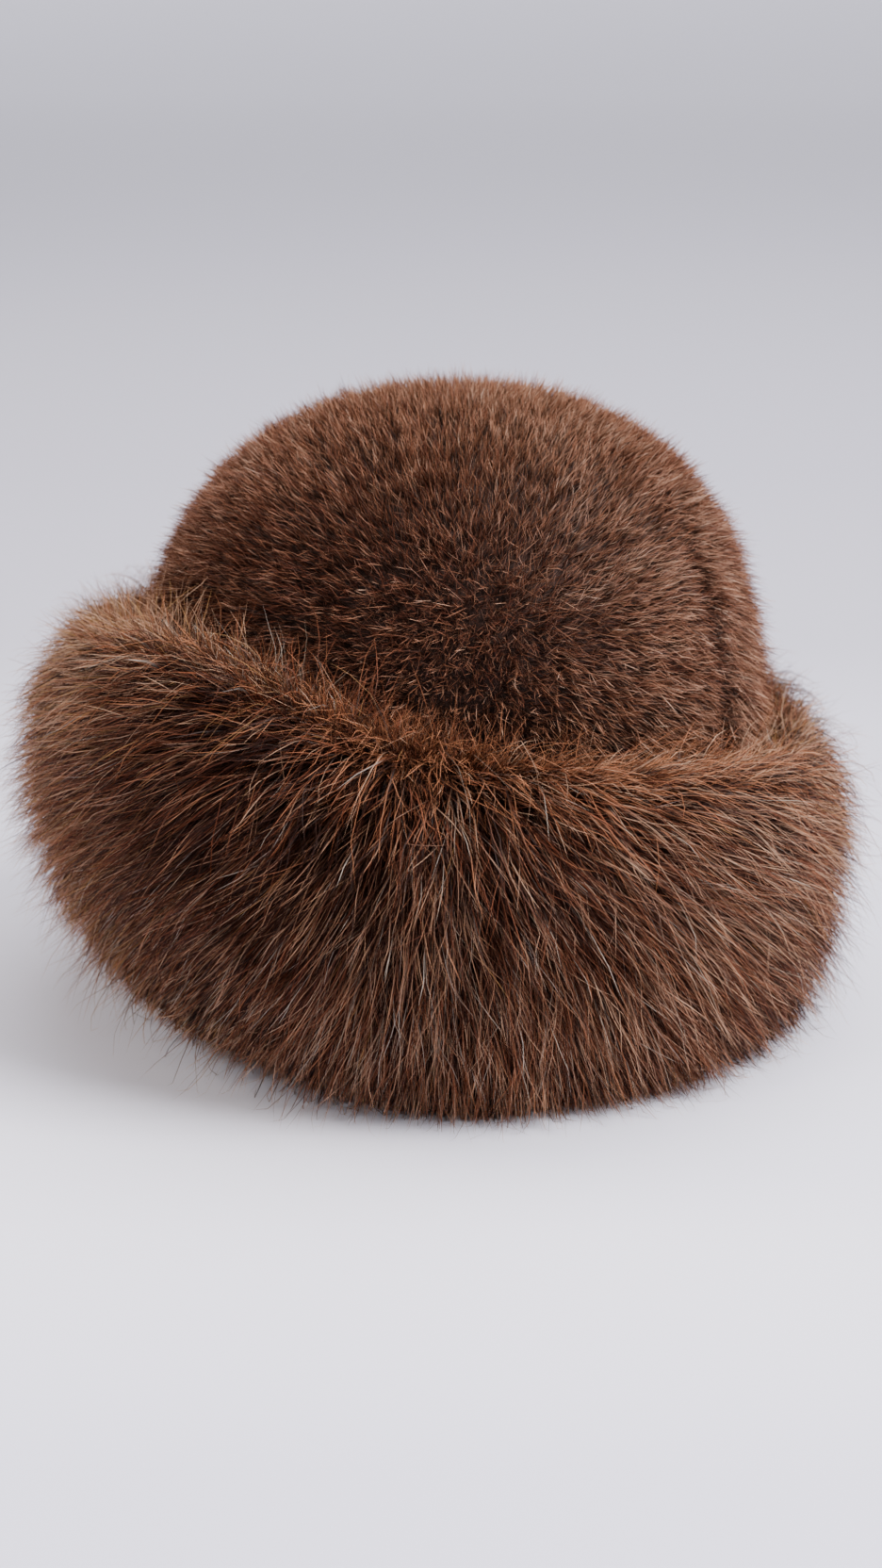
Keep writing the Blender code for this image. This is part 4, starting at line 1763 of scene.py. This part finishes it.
    def read(self, along: Array) -> Array:
        """The table's columns at each place, as rows."""
        return straight_rows(np.array(self.table), np.clip(along, 0, 1)).T

    def lay(self, azimuth: Array, along: Array) -> Lay:
        """The lay of the skin, from the rim to the foot.

        Args:
            azimuth: The places' azimuths.
            along: Where they lie along the section.

        Returns:
            The lay.
        """
        along = np.clip(along, 0, 1)
        lay = self.form.lay(self.form.cuff, azimuth, along, falls=True)
        return replace(lay, points=lay.points - lay.out * self.read(along)[0][..., None])

    def roll_piece(self) -> bpy.types.Object:
        """The soft roll that carries the fur, shaped from a ring."""
        deselect()
        radius, thickness = self.ring
        bpy.ops.mesh.primitive_torus_add(
            major_segments=self.roll_grid[0],
            minor_segments=self.roll_grid[1],
            major_radius=radius,
            minor_radius=thickness,
        )
        roll = bpy.context.object
        roll.name = "cuff_roll"
        mesh = roll.data
        points = points_of(mesh)
        azimuth = azimuth_of(points)
        reach, height = np.hypot(points[:, 0], points[:, 1]) - radius, points[:, 2]
        # The ring's upper, outer and lower parts carry the section; the part nearest the crown is its back.
        about_turn = (np.degrees(np.arctan2(height, -reach)) - self.back_start) % 360.0
        section = 360.0 - self.back_span
        along = np.clip(about_turn / section, 0, 1)
        back = np.clip((about_turn - section) / self.back_span, 0, 1)
        outer, rim, foot = (self.lay(azimuth, at).points for at in (along, 0 * along, 0 * along + 1))
        level = foot[:, 2] + (rim[:, 2] - foot[:, 2]) * back
        behind = self.form.beside_crown(azimuth, np.full(len(along), self.form.gap), level)
        points = np.where((about_turn > section)[:, None], behind, outer)
        points[:, 2] = np.maximum(points[:, 2], FLOOR_CLEARANCE)
        move_points(mesh, points)
        bpy.ops.object.mode_set(mode="EDIT")
        bpy.ops.mesh.select_all(action="SELECT")
        bpy.ops.mesh.remove_doubles(threshold=NO_STEP)
        bpy.ops.mesh.normals_make_consistent(inside=False)
        bpy.ops.object.mode_set(mode="OBJECT")
        mesh.shade_smooth()
        return roll

    def weight(self, azimuth: Array, along: Array) -> Array:
        """The fur is a little thicker in front, and thickest along the crest."""
        return super().weight(azimuth, along) * (1 + total(self.thick, azimuth, along))

    def flow(self, lay: Lay, places: Seeds) -> Array:
        """The way that the fur is combed: down and away from the front's middle, and straight down behind.

        Args:
            lay: The lay of the skin under the fur.
            places: Where that is.

        Returns:
            Unit vectors.
        """
        azimuth, along = signed(places.azimuth), places.along
        comb = self.read(along)[4] * (1 + total(self.swings, azimuth, along))
        sideways = comb * np.tanh(azimuth / self.comb_angle) * (1 + np.cos(np.radians(azimuth))) / 2
        sideways = sideways + total(self.ripples, azimuth, along)
        return unit(lay.down + lay.around * sideways[:, None])

    def stand(self, places: Seeds) -> tuple[Array, Array, Array]:
        """The fur's lifts, and a length that reaches past the form.

        Args:
            places: Where it grows.

        Returns:
            The lifts at the root and the tip, in degrees, and the lengths.
        """
        depth, root_lift, tip_lift, proud = self.read(places.along)[:4]
        rise = np.sin(np.radians((root_lift + tip_lift) / 2))
        return root_lift, tip_lift, np.minimum(self.reserve * (depth + proud) / rise, self.longest)

    def strain(self, tone: Array, places: Seeds, wisp_lot: Array, hair_lot: Array) -> Array:
        """The tones, with some gold wisps of painted glow, some rust wisps and single silver hairs given
        theirs by lot.

        Args:
            tone: The tones.
            places: Where the hairs grow.
            wisp_lot: The lot of each one's wisp.
            hair_lot: Its own lot.

        Returns:
            The tones.
        """
        step = tone - np.mean(tone)
        tone = np.clip(tone, 0, self.brown)
        tone = self.painted_gold_glow.dye(tone, step, places, wisp_lot)
        tone = self.rust.dye(tone, step, places, 1 - wisp_lot)
        return self.silver.dye(tone, step, places, hair_lot)

    def beyond(self, points: Array) -> Array:
        """How far points lie outside the cuff's outer form."""
        return self.form.beyond_cuff(points)

    def proud(self, places: Seeds) -> Array:
        """How far the fur stands out of the form, which is least low at the left."""
        return self.read(places.along)[3] + total(self.stands, places.azimuth, places.along)

    def settle(self, points: Array) -> Array:
        """The points, out of the crown and above the floor."""
        return above_floor(self.form.clear_of_crown(points))

    def build(self, fur: FurFinish, skin: SkinFinish) -> None:
        """Builds and dresses the cuff.

        Args:
            fur: The fur's finish.
            skin: The roll's.
        """
        roll = self.roll_piece()
        dress(roll, skin.material(), self.slot)
        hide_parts(self.node)
        self.grow_all(fur)


@dataclass(frozen=True)
class Softbox:
    """A soft lamp.

    Args:
        name: Its name.
        place: Where it stands.
        aim: What it faces.
        size: Its width and height.
        power: Its power in watts.
        tint: Its colour.
    """

    name: str
    place: tuple[float, float, float]
    aim: tuple[float, float, float]
    size: tuple[float, float]
    power: float
    tint: tuple[float, float, float] = (1.0, 1.0, 1.0)

    def hang(self) -> None:
        """Hangs the lamp."""
        lamp = bpy.data.lights.new(self.name, "AREA")
        lamp.shape = "RECTANGLE"
        lamp.size, lamp.size_y = self.size
        lamp.energy = self.power
        lamp.color = self.tint
        made = bpy.data.objects.new(self.name, lamp)
        made.location = self.place
        made.rotation_euler = (Vector(self.aim) - Vector(self.place)).to_track_quat("-Z", "Y").to_euler()
        bpy.context.collection.objects.link(made)


@dataclass(frozen=True)
class PaperLight:
    """A tint of the backdrop, which takes over from the ones in front of it: painted light that falls off
    over the floor and wall.

    Args:
        tint: The tint, as red, green and blue.
        start: Where it starts to take over, as a distance behind the hat's middle.
        rate: How much of the way it gains over each metre.
    """

    tint: tuple[float, float, float]
    start: float
    rate: float


@dataclass(frozen=True)
class Studio:
    """The pale studio: a floor that curves up behind, soft lamps and the camera.

    Args:
        target: What the camera faces.
        elevation: How far above the level it stands, in degrees.
        distance: How far it stands from that.
        lens: Its focal length, in millimetres.
        sensor: Its sensor's height, in millimetres.
        focus: The distance at which it is sharp.
        stop: Its aperture.
        floor: The width and depth of the sheet's floor.
        wall: The height of its wall.
        bend: How far from their corner floor and wall bend into each other.
        bend_steps: How many strips that bend has.
        roughness: The sheet's roughness.
        front_paper_light: The floor's tint in front of the hat, painted darker where the light falls off.
        paper_light: The tints behind it, from front to back, which paint the light's fall over the floor and
            wall.
        air: The tint of the light from all round.
        air_strength: How strong that light is.
        lamps: The soft lamps.
    """

    target: tuple[float, float, float] = (-0.0004, 0.0009, 0.067)
    elevation: float = 16.0
    distance: float = 1.1
    lens: float = 77.3
    sensor: float = 36.0
    focus: float = 0.98
    stop: float = 13.0
    floor: tuple[float, float] = (16.0, 22.0)
    wall: float = 6.0
    bend: float = 2.5
    bend_steps: int = 24
    roughness: float = 0.9
    # Painted light: the sheet's tints follow how the lamps' light falls off from front to back
    front_paper_light: tuple[float, float, float] = (0.72, 0.708, 0.87)
    paper_light: tuple[PaperLight, ...] = (
        PaperLight((0.868, 0.853, 1.0), -0.35, 7.0),
        PaperLight((0.448, 0.436, 0.532), -0.30, 1.3),
        PaperLight((0.75, 0.735, 0.865), 0.9, 0.35),
    )
    air: tuple[float, float, float] = (0.82, 0.81, 0.835)
    air_strength: float = 0.06
    lamps: tuple[Softbox, ...] = (
        Softbox("ceiling", (0.55, 0.65, 1.8), (0.55, 0.65, 0.0), (2.4, 1.6), 60.0, (0.97, 0.975, 1.0)),
        Softbox("far ceiling", (-1.0, 8.4, 3.2), (-1.0, 8.4, 0.0), (14.0, 11.0), 740.0),
        Softbox("right", (1.1, -0.6, 1.4), (0.0, 0.0, 0.1), (0.9, 1.2), 78.0, (1.0, 0.98, 0.96)),
        Softbox("left", (-1.5, 0.5, 0.80), (0.0, 0.0, 0.1), (0.8, 1.1), 24.0, (1.0, 0.90, 0.76)),
        Softbox("near left", (-0.95, -1.0, 1.05), (-0.05, 0.0, 0.06), (0.25, 0.25), 9.0, (1.0, 0.97, 0.93)),
    )

    def backdrop(self) -> None:
        """The floor and the wall behind it, in one curved sheet."""
        deselect()
        bpy.ops.mesh.primitive_plane_add(size=1.0)
        sheet = bpy.context.object
        sheet.name = "backdrop"
        bpy.ops.object.mode_set(mode="EDIT")
        bpy.ops.mesh.select_all(action="SELECT")
        bpy.ops.transform.resize(value=(*self.floor, 1.0))
        bpy.ops.mesh.select_all(action="DESELECT")
        bpy.ops.object.mode_set(mode="OBJECT")
        self.pick_rear(sheet.data)
        bpy.ops.object.mode_set(mode="EDIT")
        bpy.ops.mesh.select_mode(type="EDGE")
        bpy.ops.mesh.extrude_region_move(TRANSFORM_OT_translate={"value": (0.0, 0.0, self.wall)})
        bpy.ops.object.mode_set(mode="OBJECT")
        self.pick_rear(sheet.data)
        bpy.ops.object.mode_set(mode="EDIT")
        bpy.ops.mesh.bevel(offset=self.bend, segments=self.bend_steps)
        bpy.ops.object.mode_set(mode="OBJECT")
        sheet.data.shade_smooth()
        sheet.data.materials.append(self.paper())

    def pick_rear(self, mesh: bpy.types.Mesh) -> None:
        """Selects the rear edge of the floor.

        Args:
            mesh: The sheet's mesh.
        """
        for edge in mesh.edges:
            ends = [mesh.vertices[v].co for v in edge.vertices]
            edge.select = all(end.y > 0 and end.z < self.wall / 2 for end in ends)

    def paper(self) -> bpy.types.Material:
        """The sheet's paper, whose tint changes from front to back as the light on it does."""
        board = Board("backdrop paper")
        place = board.add("ShaderNodeTexCoord").outputs["Object"]
        split = board.add("ShaderNodeSeparateXYZ", None, {0: place})
        depth = Value(board, split.outputs[1])
        tint = self.front_paper_light
        for paper in self.paper_light:
            tint = board.mix(((depth - paper.start) * paper.rate).clamped(), tint, paper.tint)
        return board.finish({"Base Color": tint, "Roughness": self.roughness})

    def camera(self) -> None:
        """The camera, which looks at the hat as the photograph does."""
        rise = math.radians(self.elevation)
        lens = bpy.data.cameras.new("camera")
        lens.sensor_fit = "VERTICAL"
        lens.sensor_height = self.sensor
        lens.lens = self.lens
        lens.dof.use_dof = True
        lens.dof.focus_distance = self.focus
        lens.dof.aperture_fstop = self.stop
        made = bpy.data.objects.new("camera", lens)
        offset = Vector((0.0, -math.cos(rise), math.sin(rise))) * self.distance
        made.location = Vector(self.target) + offset
        made.rotation_euler = (math.pi / 2 - rise, 0.0, 0.0)
        bpy.context.collection.objects.link(made)
        bpy.context.scene.camera = made

    def build(self) -> None:
        """Builds the studio."""
        self.backdrop()
        self.camera()
        for lamp in self.lamps:
            lamp.hang()
        world = bpy.data.worlds.new("studio air")
        bpy.context.scene.world = world
        world.use_nodes = True
        air = world.node_tree.nodes["Background"]
        air.inputs["Color"].default_value = (*self.air, 1.0)
        air.inputs["Strength"].default_value = self.air_strength


LONG_FUR = FurFinish(
    name="long brown fur",
    root="1d0b06",
    # Browns up to 0.62; 0.64 to 0.72 the gold of the painted edge glow; 0.75 to 0.86 rust; 0.89 to 1 silver
    chart=(
        (0.00, "1d0b06"),
        (0.15, "462216"),
        (0.30, "74432f"),
        (0.45, "a26c50"),
        (0.62, "d6ac8e"),
        (0.64, "6e4526"),
        (0.72, "cb9a66"),
        (0.75, "5a2814"),
        (0.81, "b06a4b"),
        (0.86, "cc8d64"),
        (0.89, "907a6a"),
        (0.94, "bca896"),
        (1.00, "ddd0c4"),
    ),
    shade_start=0.46,
    shade_end=0.97,
    roughness=0.45,
    gloss=0.10,
    sheen=0.05,
    sheen_tint="d09060",
)
SHORT_FUR = FurFinish(
    name="short brown fur",
    root="201009",
    chart=(
        (0.00, "261109"),
        (0.25, "5d2e1f"),
        (0.50, "99664c"),
        (0.75, "c99c82"),
        (1.00, "e6c6b0"),
    ),
    shade_start=0.40,
    shade_end=0.84,
    roughness=0.5,
    gloss=0.14,
    sheen=0.15,
    sheen_tint="d09878",
)
UNDER_WOOL = SkinFinish("matted under-wool", "170b07", "2c170e", 220.0, 0.0006)
PELT = SkinFinish("pelt", "1b0d09", "38221a", 260.0, 0.0004)


def main() -> None:
    """Builds the studio and the hat, piece by piece."""
    logging.basicConfig(level=logging.INFO, format="%(name)s: %(message)s")
    Studio().build()
    low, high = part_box("crown")
    form = HatForm(middle=((low.x + high.x) / 2, (low.y + high.y) / 2))
    rng = np.random.default_rng(SEED)
    Crown(form, rng).build(SHORT_FUR, PELT)
    Cuff(form, rng).build(LONG_FUR, UNDER_WOOL)


if __name__ == "__main__":
    main()
